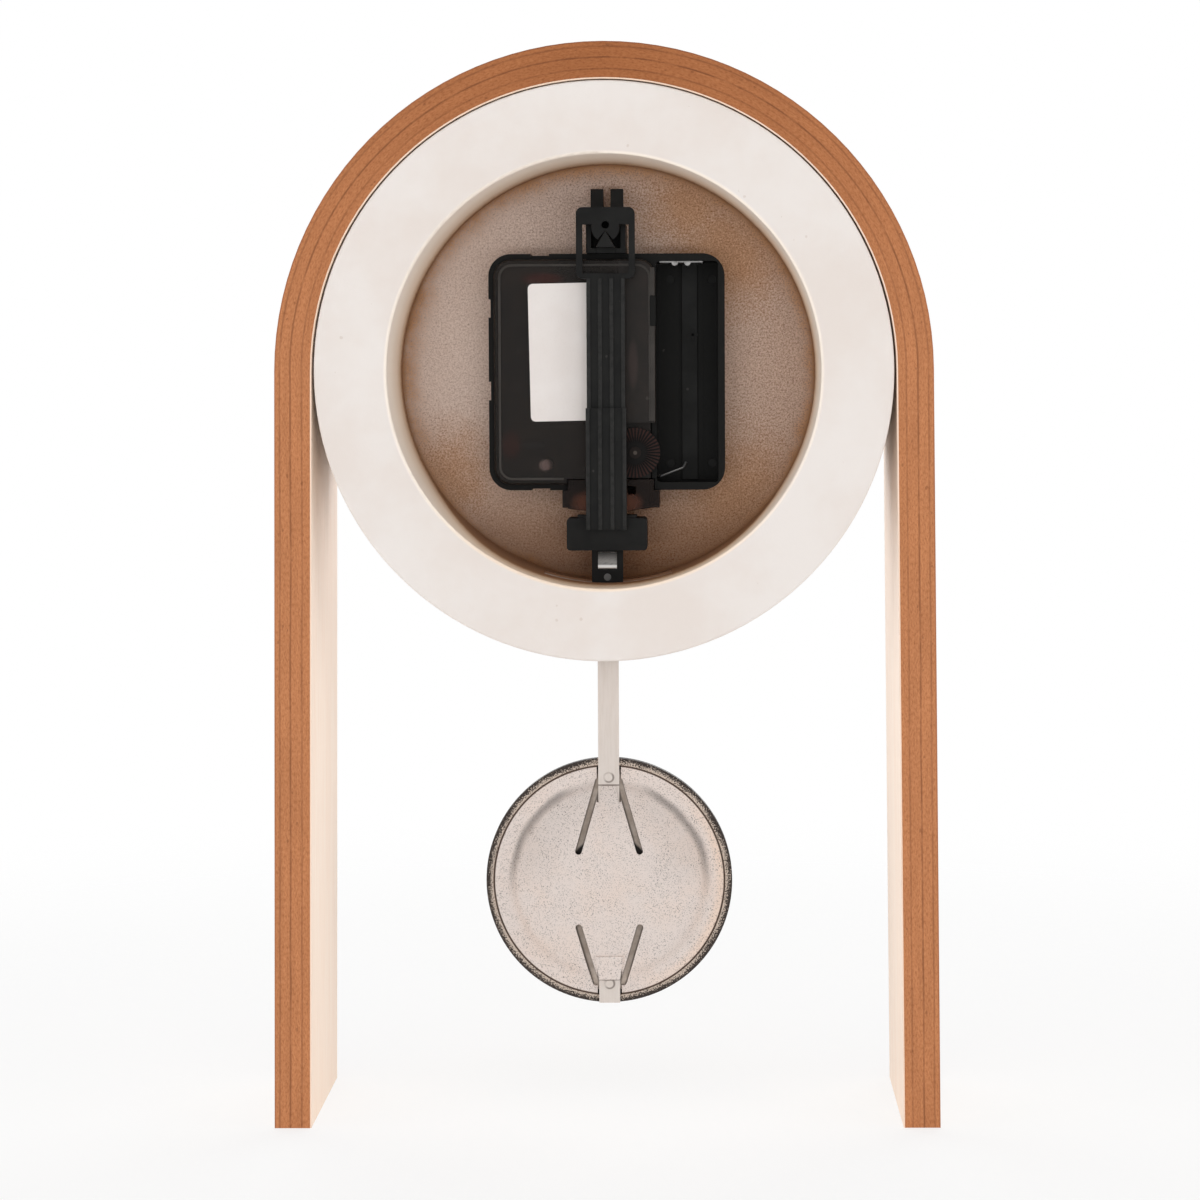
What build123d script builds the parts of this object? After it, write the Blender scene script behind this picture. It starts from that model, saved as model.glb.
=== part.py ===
from build123d import *
import os
from math import cos, pi, radians, sin, sqrt, tan

# A desk clock: a white drum held in a bent wooden arch, with a quartz pendulum movement
# in a recess in its back and a pressed metal bob that hangs between the legs.
# Millimetres. The dial faces -Y and the open back +Y, and Z is up. The origin is on the
# table, midway between the feet and midway through the depth of the arch.

# Bent wooden arch
arch_height = 250.0
arch_depth = 50.0
arch_outer_radius = 75.5
arch_core_thickness = 7.9
arch_veneer_thickness = 0.3
leg_splay = 0.5

# Drum in the arch
drum_side_gap = 0.5
drum_crown_gap = 0.3
drum_wall = 16.7
drum_edge_round = 0.6
recess_depth = 38.0
board_ledge = 6.0
board_thickness = 5.0
board_clearance = 0.1
dial_thickness = 0.4
dial_margin = 0.4
dowel_radius = 3.0
dowel_drum_depth = 10.0
dowel_arch_depth = 4.0
dowel_clearance = 0.1
dowel_angles = (25.0, 90.0, 155.0)

# Movement case
gasket_thickness = 1.0
gasket_radius = 8.5
case_size = 56.0
case_corner = 5.3
case_height = 12.0
case_front_wall = 1.4
case_side_wall = 2.4
case_notch_depth = 0.5
case_notch_length = 4.4
case_side_notches = (15.2, -4.4)
case_end_notch = 15.8
bay_width = 14.6
bay_outer_wall = 1.6
bay_end_wall = 1.8
bay_divider = 1.2
bay_channel_width = 6.0
bay_channel_offset = -1.0
bay_channel_depth = 0.7
bay_corner = 0.8
cavity_corner = 0.3
cover_height = 3.0
cover_wall = 1.2
cover_ledge = 1.0
cover_edge_round = 0.6
cover_corner = 4.0
label_width = 19.0
label_height = 32.5
label_thickness = 0.12
label_corner = 1.2
label_tilt = 1.1
label_place = (8.7, 4.75)

# Hand shaft and its fixing through the dial
bush_radius = 3.9
bush_end_gap = 0.2
bush_clearance = 0.2
washer_radius = 7.0
washer_thickness = 0.5
nut_flats = 11.0
nut_thickness = 2.0
thread_clearance = 0.08
running_clearance = 0.05
press_clearance = 0.02
hour_pipe_radius = 2.5
minute_shaft_radius = 1.5
minute_seat_radius = 1.2
cap_thread_radius = 1.0
hand_thickness = 0.5
hand_gap = 0.7
hour_hand_gap = 0.3
hour_hand_length = 29.0
minute_hand_length = 43.0
hour_hand_width = 4.2
minute_hand_width = 3.2
hand_tail = 9.0
hour_hub_radius = 4.4
minute_hub_radius = 3.4
hour_hand_angle = 305.0
minute_hand_angle = 60.0
cap_radius = 2.2
cap_height = 1.3
cap_bore_depth = 0.9

# Gears: tooth shape in modules, module of the motion work as a share of the case, tooth counts
pressure_angle = 20.0
tooth_addendum = 0.6
tooth_dedendum = 0.85
tooth_thinning = 0.12
motion_module_share = 0.00732
cannon_teeth = 12
minute_wheel_teeth = 36
minute_pinion_teeth = 12
hour_wheel_teeth = 48
knob_gear_teeth = 16
centre_wheel_teeth = 80
third_pinion_teeth = 10
third_wheel_teeth = 75
fourth_pinion_teeth = 10
fourth_wheel_teeth = 60
fifth_pinion_teeth = 10
fifth_wheel_teeth = 50
rotor_pinion_teeth = 10

# Gear levels and arbors
motion_wheel_thickness = 0.8
train_wheel_thickness = 0.6
pinion_overhang = 0.1
wheel_gap = 0.4
train_gap = 0.5
floor_gap = 0.3
arbor_radius = 0.4
arbor_gap = 0.6
arbor_end = 0.7
arbor_play = 0.2
stud_radius = 0.75
centre_pin_radius = 0.75
minute_wheel_direction = -100.0
knob_direction = -118.0
third_direction = 30.0
fifth_direction = 100.0
rotor_direction = 40.0
bridge_thickness = 1.2
bridge_margin = 1.5
bridge_gap = 0.6
post_radius = 0.8
post_stator_gap = 1.6
post_wall_gap = 1.3
post_levels = (12.0, -3.5, 16.5)
screw_head_radius = 1.1
screw_head_height = 0.9
screw_radius = 0.4
screw_depth = 4.0

# Stepping motor and circuit board
rotor_radius = 2.4
rotor_height = 2.8
rotor_lift = 0.6
stator_thickness = 1.2
stator_gap = 0.5
stator_lift = 1.2
stator_half_height = 3.95
stator_left = 6.4
stator_right = 15.1
stator_leg = 3.0
core_width = 2.6
core_thickness = 1.2
bobbin_flange = 0.8
bobbin_half = 2.9
bobbin_tube_radius = 1.8
bobbin_end_gap = 0.6
winding_radius = 2.6
coil_row_gap = 3.0
circuit_width = 12.5
circuit_side_gap = 1.1
circuit_end_gap = 1.6
circuit_gear_gap = 2.4
circuit_thickness = 1.0
circuit_lift = 3.6
circuit_boss_radius = 1.4
circuit_boss_inset = 3.0
circuit_pin_radius = 1.3
circuit_pin_inset = 2.1
crystal_radius = 1.0
crystal_length = 6.0
crystal_rise = 6.5
chip_side = 4.5
chip_height = 1.0
chip_drop = 5.0

# Setting knob
knob_radius = 5.9
knob_height = 2.9
knob_rim_gap = 0.3
knob_flutes = 40
knob_flute_width = 0.42
knob_flute_depth = 0.45
knob_hub_radius = 1.4
knob_arbor_radius = 1.0
knob_pivot_radius = 0.5
knob_window_gap = 1.2
knob_floor_thickness = 0.9

# Battery contacts
contact_thickness = 0.3
contact_width = 10.2
contact_height = 9.4
contact_bump_radius = 0.75
contact_bump_spacing = 3.0
contact_wire_radius = 0.3
contact_wire_bend = 0.7
contact_wire_height = 8.4
contact_wire_reach = 5.9
contact_wire_rise = 2.2
contact_hook_rise = 1.4

# Pendulum drive coil under the case
housing_width = 23.0
housing_neck_width = 20.4
housing_offset = -0.9
housing_drop = 5.0
housing_height = 12.8
housing_lift = 0.2
housing_wall = 1.0
housing_clearance = 0.15
housing_roof_gap = 0.4
housing_end_rise = 0.9
housing_hole_size = 2.0
housing_hole_spread = 4.9
drive_flange_radius = 4.4
drive_flange_thickness = 0.7
drive_winding_radius = 4.1
drive_core_radius = 1.6
drive_coil_gap = 0.3

# Knife edge that carries the pendulum
pivot_rise = 5.1
knife_half_angle = 30.0
knife_drop = 3.9
knife_start = 10.0
bracket_half_width = 4.7
bracket_rise = 6.9
bracket_depth = 15.5
bracket_pocket_half_width = 3.4
bracket_pocket_depth = 6.0
prong_inner = 0.85
prong_width = 3.05
prong_wall_gap = 6.1
prong_thickness = 3.0
prong_lift = 2.0

# Pendulum arm
swing_angle = 6.0
notch_relief = 4.0
notch_gap = 0.05
arm_gap = 2.0
arm_thickness = 2.2
hanger_width = 13.8
hanger_rise = 10.6
hanger_drop = 6.1
hanger_top_bar = 4.0
hanger_bottom_bar = 1.2
hanger_side_bar = 1.45
hanger_corner = 1.5
shield_radius = 3.3
shield_rise = 0.7
shield_hole_radius = 0.9
shield_hole_rise = 1.35
arm_width = 9.0
arm_tail_width = 7.0
arm_tail_length = 20.0
rib_count = 4
rib_width = 0.9
rib_height = 0.5
sleeve_width = 9.5
sleeve_top = -8.5
sleeve_overlap = 2.5
sleeve_skin = 0.6
sleeve_clearance = 0.1
crosspiece_width = 19.0
crosspiece_gap = 1.5
crosspiece_height = 7.6
crosspiece_depth = 10.0
crosspiece_corner = 0.8
magnet_width = 14.0
magnet_height = 3.4
magnet_depth = 6.0
magnet_rise = 0.6
magnet_clearance = 0.05
tongue_width = 7.4
tongue_thickness = 1.8
tongue_length = 14.7
hook_width = 4.6
hook_gap = 0.5
hook_height = 3.8
hook_clearance = 0.1
hook_depth = 1.5
rivet_drop = 2.2
rivet_radius = 0.65
rivet_head_radius = 0.85
rivet_head_height = 0.4

# Pendulum rod and bob
rod_width = 5.0
rod_thickness = 0.8
rod_dimple_radius = 1.1
rod_dimple_height = 0.3
rod_dimple_inset = 4.6
slot_width = 8.0
slot_play = 1.0
bob_radius = 29.4
bob_foot_gap = 23.9
bob_rim_width = 1.8
bob_rim_height = 2.2
bob_dome = 7.0
bob_sheet = 0.5
bob_plate_gap = 0.1
bob_rim_drop = 0.1
plate_sheet = 0.6
plate_flange_width = 2.5
plate_shoulder_width = 4.5
plate_slot_width = 1.6
upper_tongue_inset = 6.6
upper_slot_inset = 5.6
upper_slot_top_spread = 2.5
upper_slot_bottom = 7.1
lower_tongue_inset = 5.8
lower_slot_inset = 4.8
lower_slot_bottom_spread = 3.3
lower_slot_top = 11.2
slot_spread = 7.3
rod_notch_gap = 0.4

# How far a cut runs past the face that it opens, and the degrees in half a turn
cut_past = 1.0
half_turn = 180

# Worked out from the sizes above
arch_thickness = arch_core_thickness + 2 * arch_veneer_thickness
arch_inner_radius = arch_outer_radius - arch_thickness
arch_centre_z = arch_height - arch_outer_radius
drum_radius = arch_inner_radius - drum_side_gap
shaft_z = arch_centre_z + drum_side_gap - drum_crown_gap
recess_radius = drum_radius - drum_wall
board_radius = recess_radius + board_ledge
rear_y = arch_depth / 2
floor_y = rear_y - recess_depth

# Heights above the recess floor, towards the back
case_half = case_size / 2
case_front = gasket_thickness
cavity_floor = case_front + case_front_wall
case_rim = case_front + case_height
cover_top = case_rim + cover_height
arm_low = cover_top + arm_gap
arm_high = arm_low + arm_thickness
sleeve_low = arm_low - sleeve_skin
sleeve_high = arm_high + rib_height + sleeve_clearance + sleeve_skin
hour_low = cavity_floor + floor_gap
minute_low = hour_low + motion_wheel_thickness + wheel_gap
centre_low = minute_low + motion_wheel_thickness + wheel_gap
third_low = centre_low + train_wheel_thickness + train_gap
fourth_low = third_low + train_wheel_thickness + train_gap
fifth_low = fourth_low + train_wheel_thickness + train_gap
bridge_low = fifth_low + train_wheel_thickness + bridge_gap
bridge_high = bridge_low + bridge_thickness
stator_low = cavity_floor + stator_lift
core_low = stator_low + stator_thickness
circuit_low = cavity_floor + circuit_lift
circuit_high = circuit_low + circuit_thickness
housing_low = cavity_floor + housing_lift
housing_high = housing_low + housing_height
knob_low = case_rim + knob_rim_gap
knob_floor_high = knob_low - knob_rim_gap - running_clearance
knob_floor_low = knob_floor_high - knob_floor_thickness

# Heights in front of the recess floor, towards the dial
dial_front = -(board_thickness + dial_thickness)
washer_front = dial_front - washer_thickness
nut_front = washer_front - nut_thickness
bush_front = nut_front - bush_end_gap
hour_hand_rear = bush_front - hour_hand_gap
hour_hand_front = hour_hand_rear - hand_thickness
minute_hand_rear = hour_hand_front - hand_gap
minute_hand_front = minute_hand_rear - hand_thickness

# Case edges across the clock
bay_left = -case_half + bay_outer_wall
bay_right = bay_left + bay_width
cavity_left = bay_right + bay_divider
cavity_right = case_half - case_side_wall
bay_end = case_half - bay_end_wall
cover_left = cavity_left - cover_ledge
cover_right = cavity_right + cover_ledge

# Gear sizes and places: the two motion pairs share one distance, and the train arbors
# stand just outside the hour wheel
motion_module = motion_module_share * case_size
hour_module = motion_module * (cannon_teeth + minute_wheel_teeth) / (minute_pinion_teeth + hour_wheel_teeth)
motion_distance = motion_module * (cannon_teeth + minute_wheel_teeth) / 2
knob_distance = motion_module * (minute_wheel_teeth + knob_gear_teeth) / 2
hour_tip_radius = hour_module * (hour_wheel_teeth / 2 + tooth_addendum)
train_distance = hour_tip_radius + arbor_gap + arbor_radius
centre_module = 2 * train_distance / (centre_wheel_teeth + third_pinion_teeth)
third_module = 2 * train_distance / (third_wheel_teeth + fourth_pinion_teeth)
fourth_module = 2 * train_distance / (fourth_wheel_teeth + fifth_pinion_teeth)
rotor_distance = fourth_module * (fifth_wheel_teeth + rotor_pinion_teeth) / 2


def step_from(place, direction, distance):
    return (place[0] + distance * cos(radians(direction)), place[1] + distance * sin(radians(direction)))


def mesh_turn(teeth, turn, direction, mate_teeth):
    # Turn of a mating gear whose gap meets this gear's tooth on the line of centres
    pitches = (direction - turn) * teeth / 360
    return direction + half_turn - (0.5 - pitches) * 360 / mate_teeth


shaft_place = (0.0, 0.0)
minute_wheel_place = step_from(shaft_place, minute_wheel_direction, motion_distance)
knob_place = step_from(minute_wheel_place, knob_direction, knob_distance)
third_place = step_from(shaft_place, third_direction, train_distance)
fifth_place = step_from(shaft_place, fifth_direction, train_distance)
rotor_place = step_from(fifth_place, rotor_direction, rotor_distance)

minute_wheel_turn = mesh_turn(cannon_teeth, 0, minute_wheel_direction, minute_wheel_teeth)
knob_turn = mesh_turn(minute_wheel_teeth, minute_wheel_turn, knob_direction, knob_gear_teeth)
hour_turn = mesh_turn(minute_pinion_teeth, 0, minute_wheel_direction + half_turn, hour_wheel_teeth)
third_turn = mesh_turn(fourth_pinion_teeth, 0, third_direction, third_wheel_teeth)
centre_turn = mesh_turn(third_pinion_teeth, 0, third_direction + half_turn, centre_wheel_teeth)
fourth_turn = mesh_turn(fifth_pinion_teeth, 0, fifth_direction + half_turn, fourth_wheel_teeth)
fifth_turn = mesh_turn(rotor_pinion_teeth, 0, rotor_direction + half_turn, fifth_wheel_teeth)

# Places that follow the gears and the case
housing_top = knob_place[1] - knob_radius - housing_roof_gap
housing_bottom = -case_half - housing_drop
pivot_height = case_half + pivot_rise
housing_radius = pivot_height - housing_bottom
cover_gap_left = housing_offset - housing_neck_width / 2 - housing_clearance
cover_gap_right = housing_offset + housing_neck_width / 2 + housing_clearance
knob_window_right = knob_place[0] + knob_radius + knob_window_gap
knob_window_top = knob_place[1] + knob_radius + knob_window_gap
stator_left_edge = rotor_place[0] - stator_left
stator_right_edge = rotor_place[0] + stator_right
coil_row = rotor_place[1] + stator_half_height + coil_row_gap
coil_left = stator_left_edge + stator_leg + bobbin_end_gap
coil_right = stator_right_edge - stator_leg - bobbin_end_gap
coil_axis = core_low + core_thickness / 2
post_right = stator_right_edge + post_stator_gap
post_across = (post_right, post_right, cavity_left + post_wall_gap)
post_places = list(zip(post_across, post_levels))
third_tip_radius = third_module * (third_wheel_teeth / 2 + tooth_addendum)
circuit_right = cavity_right - circuit_side_gap
circuit_left = circuit_right - circuit_width
circuit_middle = (circuit_left + circuit_right) / 2
circuit_bottom = -case_half + case_side_wall + circuit_end_gap
circuit_top = third_place[1] - third_tip_radius - circuit_gear_gap
circuit_boss_level = circuit_top - circuit_boss_inset
circuit_pin_place = (circuit_left + circuit_pin_inset, circuit_bottom + circuit_pin_inset)

# Heights of the pendulum's pieces about the hand shaft: the hanger follows the case's top,
# the crosspiece and what hangs on it follow the drive coil's housing
bracket_top = case_half + bracket_rise
prong_top = recess_radius - prong_wall_gap
hanger_top = case_half + hanger_rise
hanger_bottom = case_half - hanger_drop
crosspiece_top = housing_bottom - crosspiece_gap
crosspiece_bottom = crosspiece_top - crosspiece_height
sleeve_bottom = crosspiece_top - sleeve_overlap
hook_top = crosspiece_bottom - hook_gap
hook_bottom = hook_top - hook_height
rivet_place = hook_bottom - rivet_drop
tongue_end = crosspiece_bottom - tongue_length

# Depths of the pendulum, through the drum
rod_mid = -floor_y
rod_low = rod_mid - rod_thickness
rod_high = rod_low + rod_thickness
tongue_high = rod_high + tongue_thickness
crosspiece_low = sleeve_low + sleeve_skin - crosspiece_depth
slot_low = rod_mid - slot_width / 2
slot_high = rod_mid + slot_width / 2
slot_reach = (pivot_height + drum_radius) * tan(radians(swing_angle))
slot_half = slot_reach + tongue_width / 2 + slot_play
bob_centre = bob_foot_gap + bob_radius - shaft_z
plate_radius = bob_radius - bob_rim_width - bob_plate_gap
plate_high = rod_high + plate_sheet
flange_high = rod_low - bob_rim_drop
shoulder_end = plate_radius - plate_flange_width
shoulder_start = shoulder_end - plate_shoulder_width
upper_tongue_end = bob_radius - upper_tongue_inset
upper_slot_top = bob_radius - upper_slot_inset
lower_tongue_end = bob_radius - lower_tongue_inset
lower_slot_bottom = bob_radius - lower_slot_inset


def upright(outline, front, rear, level):
    # A shape drawn across the clock and up, filling the depth from front to rear
    back = Plane(origin=(0, rear, level), x_dir=(1, 0, 0), z_dir=(0, -1, 0))
    return extrude(back * outline, amount=rear - front)


def slab(outline, low, high):
    # The same about the hand shaft, between two heights above the recess floor
    return upright(outline, floor_y + low, floor_y + high, shaft_z)


def block(left, right, bottom, top, low, high):
    middle = Pos((left + right) / 2, (bottom + top) / 2)
    return slab(middle * Rectangle(right - left, top - bottom), low, high)


def disc(place, radius, low, high):
    return slab(Pos(*place) * Circle(radius), low, high)


def turned(profile):
    # A profile of radius and height, turned about the bob's own centre line
    section = Plane(origin=(0, floor_y, shaft_z + bob_centre), x_dir=(1, 0, 0), z_dir=(0, 0, 1))
    axis = Axis((0, 0, shaft_z + bob_centre), (0, 1, 0))
    return revolve(section * profile, axis=axis, revolution_arc=360)


def gear_outline(teeth, module, turn):
    # Involute teeth, thinned for backlash, one tooth pointing along the given turn
    pitch = module * teeth / 2
    base = pitch * cos(radians(pressure_angle))
    root = pitch - tooth_dedendum * module
    tip = pitch + tooth_addendum * module
    flank = [max(base, root), pitch, tip]
    lean = tan(radians(pressure_angle)) - radians(pressure_angle)
    points = []
    for tooth in range(teeth):
        middle = radians(turn) + 2 * pi * tooth / teeth
        side = []
        for radius in flank:
            roll = sqrt((radius / base) ** 2 - 1)
            half = (pi / 2 - tooth_thinning) / teeth + lean - (roll - atan_of(roll))
            side.append((radius, half))
        side.insert(0, (root, side[0][1]))
        points += [(r * cos(middle - half), r * sin(middle - half)) for r, half in side]
        points += [(r * cos(middle + half), r * sin(middle + half)) for r, half in reversed(side)]
    return Polygon(*points, align=None)


def atan_of(roll):
    return radians(Vector(1, 0).get_angle(Vector(1, roll)))


def gear(place, teeth, module, turn, low, high):
    return slab(Pos(*place) * gear_outline(teeth, module, turn), low, high)


def arch_outline(outer, inner):
    # Half circle on two legs that lean outward, cut off level at the table
    splay = radians(leg_splay)

    def spring(radius, side):
        return (side * radius * cos(splay), arch_centre_z + radius * sin(splay))

    def foot(radius, side):
        return (side * (radius * cos(splay) + (arch_centre_z + radius * sin(splay)) * tan(splay)), 0)

    edges = Line(foot(outer, 1), spring(outer, 1))
    edges += ThreePointArc(spring(outer, 1), (0, arch_centre_z + outer), spring(outer, -1))
    edges += Line(spring(outer, -1), foot(outer, -1))
    edges += Line(foot(outer, -1), foot(inner, -1))
    edges += Line(foot(inner, -1), spring(inner, -1))
    edges += ThreePointArc(spring(inner, -1), (0, arch_centre_z + inner), spring(inner, 1))
    edges += Line(spring(inner, 1), foot(inner, 1))
    edges += Line(foot(inner, 1), foot(outer, 1))
    return make_face(edges)


def dowel_pins(clearance):
    # Round pins from the drum into the arch, or their holes when given a clearance
    pins = []
    start = drum_radius - dowel_drum_depth - clearance
    end = arch_inner_radius + arch_veneer_thickness + dowel_arch_depth + clearance
    for angle in dowel_angles:
        direction = Vector(cos(radians(angle)), 0, sin(radians(angle)))
        base = Plane(origin=Vector(0, 0, shaft_z) + direction * start, z_dir=direction)
        pins.append(extrude(base * Circle(dowel_radius + clearance), amount=end - start))
    return pins


def arch_layer(outer, inner):
    layer = upright(arch_outline(outer, inner), -rear_y, rear_y, 0)
    return layer - dowel_pins(dowel_clearance)


def arch_core():
    return arch_layer(arch_outer_radius - arch_veneer_thickness, arch_inner_radius + arch_veneer_thickness)


def arch_outer_veneer():
    outline = arch_outline(arch_outer_radius, arch_outer_radius - arch_veneer_thickness)
    return upright(outline, -rear_y, rear_y, 0)


def arch_inner_veneer():
    return arch_layer(arch_inner_radius + arch_veneer_thickness, arch_inner_radius)


def fixing_dowels():
    return Part() + dowel_pins(0)


def drum_ring():
    body = upright(Circle(drum_radius), -rear_y, rear_y, shaft_z)
    body -= upright(Circle(recess_radius), floor_y, rear_y, shaft_z)
    body -= upright(Circle(board_radius), -rear_y, floor_y, shaft_z)
    rims = body.edges().group_by(Axis.Y)
    body = fillet(rims[0] + rims[-1], drum_edge_round)
    body -= block(-slot_half, slot_half, -drum_radius - drum_wall, 0, slot_low, slot_high)
    return body - dowel_pins(dowel_clearance)


def dial_board():
    board = disc(shaft_place, board_radius - board_clearance, -board_thickness, 0)
    return board - disc(shaft_place, bush_radius + bush_clearance, -board_thickness, 0)


def dial():
    radius = board_radius - board_clearance - dial_margin
    sheet = disc(shaft_place, radius, dial_front, -board_thickness)
    return sheet - disc(shaft_place, bush_radius + bush_clearance, dial_front, -board_thickness)


def movement_gasket():
    ring = disc(shaft_place, gasket_radius, 0, case_front)
    return ring - disc(shaft_place, bush_radius + bush_clearance, 0, case_front)


def fixing_washer():
    ring = disc(shaft_place, washer_radius, washer_front, dial_front)
    return ring - disc(shaft_place, bush_radius + thread_clearance, washer_front, dial_front)


def fixing_nut():
    hexagon = RegularPolygon(nut_flats / 2, 6, major_radius=False)
    return slab(hexagon - Circle(bush_radius + thread_clearance), nut_front, washer_front)


def case_cavity():
    width = cavity_right - cavity_left
    height = case_size - 2 * case_side_wall
    outline = RectangleRounded(width, height, cavity_corner)
    return slab(Pos((cavity_left + cavity_right) / 2, 0) * outline, cavity_floor, case_rim)


def battery_bay():
    middle = (bay_left + bay_right) / 2
    outline = RectangleRounded(bay_width, 2 * bay_end, bay_corner)
    bay = slab(Pos(middle, 0) * outline, cavity_floor, case_rim)
    channel = Pos(middle + bay_channel_offset, 0) * Rectangle(bay_channel_width, 2 * bay_end)
    return bay + slab(channel, cavity_floor - bay_channel_depth, cavity_floor)


def case_notches():
    # Shallow gaps in the rim for the cover's snap hooks, on the side and at both ends
    half = case_notch_length / 2
    edge = case_half - case_notch_depth
    past = case_half + cut_past
    cuts = [block(edge, past, z - half, z + half, cavity_floor, case_rim) for z in case_side_notches]
    for bottom, top in ((edge, past), (-past, -edge)):
        cuts.append(block(case_end_notch - half, case_end_notch + half, bottom, top, cavity_floor, case_rim))
    return cuts


def movement_front_case():
    case = slab(RectangleRounded(case_size, case_size, case_corner), case_front, case_rim)
    case -= case_cavity()
    case -= battery_bay()
    case -= case_notches()
    case -= block(cover_gap_left, cover_gap_right, -case_size, housing_top + housing_clearance,
                  housing_low - housing_clearance, case_rim)
    case += disc(shaft_place, bush_radius, bush_front, case_front)
    case -= disc(shaft_place, hour_pipe_radius + running_clearance, bush_front, cavity_floor)
    stud_top = minute_low + motion_wheel_thickness + pinion_overhang
    case += disc(minute_wheel_place, stud_radius, cavity_floor, stud_top)
    for place in post_places:
        case += disc(place, post_radius, cavity_floor, bridge_low)
        case -= disc(place, screw_radius + running_clearance, bridge_low - screw_depth, bridge_low)
    for across in (circuit_left + circuit_boss_inset, circuit_right - circuit_boss_inset):
        case += disc((across, circuit_boss_level), circuit_boss_radius, cavity_floor, circuit_low)
    for side in (stator_left_edge + stator_leg / 2, stator_right_edge - stator_leg / 2):
        case += disc((side, rotor_place[1]), stator_leg / 2, cavity_floor, stator_low)
    for place in (third_place, fifth_place, rotor_place):
        hole = arbor_radius + running_clearance
        case -= disc(place, hole, cavity_floor - arbor_end - arbor_play, cavity_floor)
    pivot = knob_pivot_radius + running_clearance
    return case - disc(knob_place, pivot, cavity_floor - arbor_end - arbor_play, cavity_floor)


def knob_well():
    # Floor that bears the setting knob, hung from the cover on two walls
    left = cavity_left + cavity_corner
    bottom = housing_top + housing_clearance
    right = knob_window_right + cover_wall
    top = knob_window_top + cover_wall
    ceiling = cover_top - cover_wall
    well = block(left, right, bottom, top, knob_floor_low, ceiling)
    well -= block(left - cut_past, knob_window_right, bottom - cut_past, knob_window_top,
                  knob_floor_high, ceiling)
    return well - disc(knob_place, knob_arbor_radius + running_clearance, knob_floor_low, knob_floor_high)


def movement_rear_cover():
    width = cover_right - cover_left
    height = case_size - 2 * case_side_wall + 2 * cover_ledge
    middle = Pos((cover_left + cover_right) / 2, 0)
    cover = slab(middle * RectangleRounded(width, height, cover_corner), case_rim, cover_top)
    cover = fillet(cover.faces().sort_by(Axis.Y)[-1].edges(), cover_edge_round)
    inside = RectangleRounded(width - 2 * cover_wall, height - 2 * cover_wall, cover_corner - cover_wall)
    cover -= slab(middle * inside, case_rim, cover_top - cover_wall)
    cover -= block(cover_left - cut_past, knob_window_right, housing_top, knob_window_top,
                   case_rim, cover_top)
    cover += knob_well()
    return cover - block(cover_left - cut_past, cover_gap_right, -case_size, housing_top + housing_clearance,
                         case_front, cover_top)


def rating_label():
    sheet = Rot(0, 0, -label_tilt) * RectangleRounded(label_width, label_height, label_corner)
    return slab(Pos(*label_place) * sheet, cover_top, cover_top + label_thickness)


def battery_contact_positive():
    right = bay_right - bay_corner
    left = right - contact_width
    low = cavity_floor + running_clearance
    high = low + contact_height
    edge = bay_end - contact_thickness
    plate = block(left, right, edge, bay_end, low, high)
    middle = (left + right) / 2
    for side in (-0.5, 0.5):
        bump = Circle(contact_bump_radius)
        bump -= Pos(0, contact_bump_radius) * Rectangle(4 * contact_bump_radius, 2 * contact_bump_radius)
        place = Pos(middle + side * contact_bump_spacing, edge)
        plate += slab(place * bump, low + contact_height / 4, high)
        plate += slab(place * Rectangle(2 * contact_bump_radius, contact_thickness), low, high)
    return plate


def battery_contact_negative():
    inset = contact_wire_radius + running_clearance
    x = bay_right - inset
    z = shaft_z - bay_end + inset + bay_corner
    y = floor_y + cavity_floor + running_clearance
    top = y + contact_wire_height
    reach = x - contact_wire_reach
    points = [(x, y, z), (x, top, z), (reach, top, z + contact_wire_rise)]
    points.append((reach - contact_wire_bend, top, z + contact_wire_rise + contact_hook_rise))
    path = FilletPolyline(*points, radius=contact_wire_bend)
    start = Plane(origin=points[0], z_dir=(0, 1, 0))
    return sweep(start * Circle(contact_wire_radius), path=path)


def gear_bore(place, radius, low, high):
    return disc(place, radius + running_clearance, low, high)


def minute_arbor():
    # Cannon pinion with the shaft that carries the minute hand and the rear pin of the centre wheel
    low = minute_low - pinion_overhang
    high = minute_low + motion_wheel_thickness + pinion_overhang
    pin_top = third_low - train_gap / 2
    arbor = disc(shaft_place, minute_shaft_radius, minute_hand_rear, low)
    arbor += gear(shaft_place, cannon_teeth, motion_module, 0, low, high)
    arbor += disc(shaft_place, centre_pin_radius, high, pin_top)
    arbor += disc(shaft_place, minute_seat_radius, minute_hand_front, minute_hand_rear)
    arbor += disc(shaft_place, cap_thread_radius, minute_hand_front - cap_bore_depth, minute_hand_front)
    return arbor - gear_bore(shaft_place, arbor_radius, pin_top - arbor_end - arbor_play, pin_top)


def hour_wheel():
    high = hour_low + motion_wheel_thickness
    wheel = gear(shaft_place, hour_wheel_teeth, hour_module, hour_turn, hour_low, high)
    wheel += disc(shaft_place, hour_pipe_radius, hour_hand_front, hour_low)
    return wheel - gear_bore(shaft_place, minute_shaft_radius, hour_hand_front, high)


def minute_wheel():
    low = hour_low - pinion_overhang
    high = minute_low + motion_wheel_thickness
    wheel = gear(minute_wheel_place, minute_pinion_teeth, hour_module, 0, low, minute_low)
    wheel += gear(minute_wheel_place, minute_wheel_teeth, motion_module, minute_wheel_turn,
                  minute_low, high)
    return wheel - gear_bore(minute_wheel_place, stud_radius, low, high)


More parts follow.
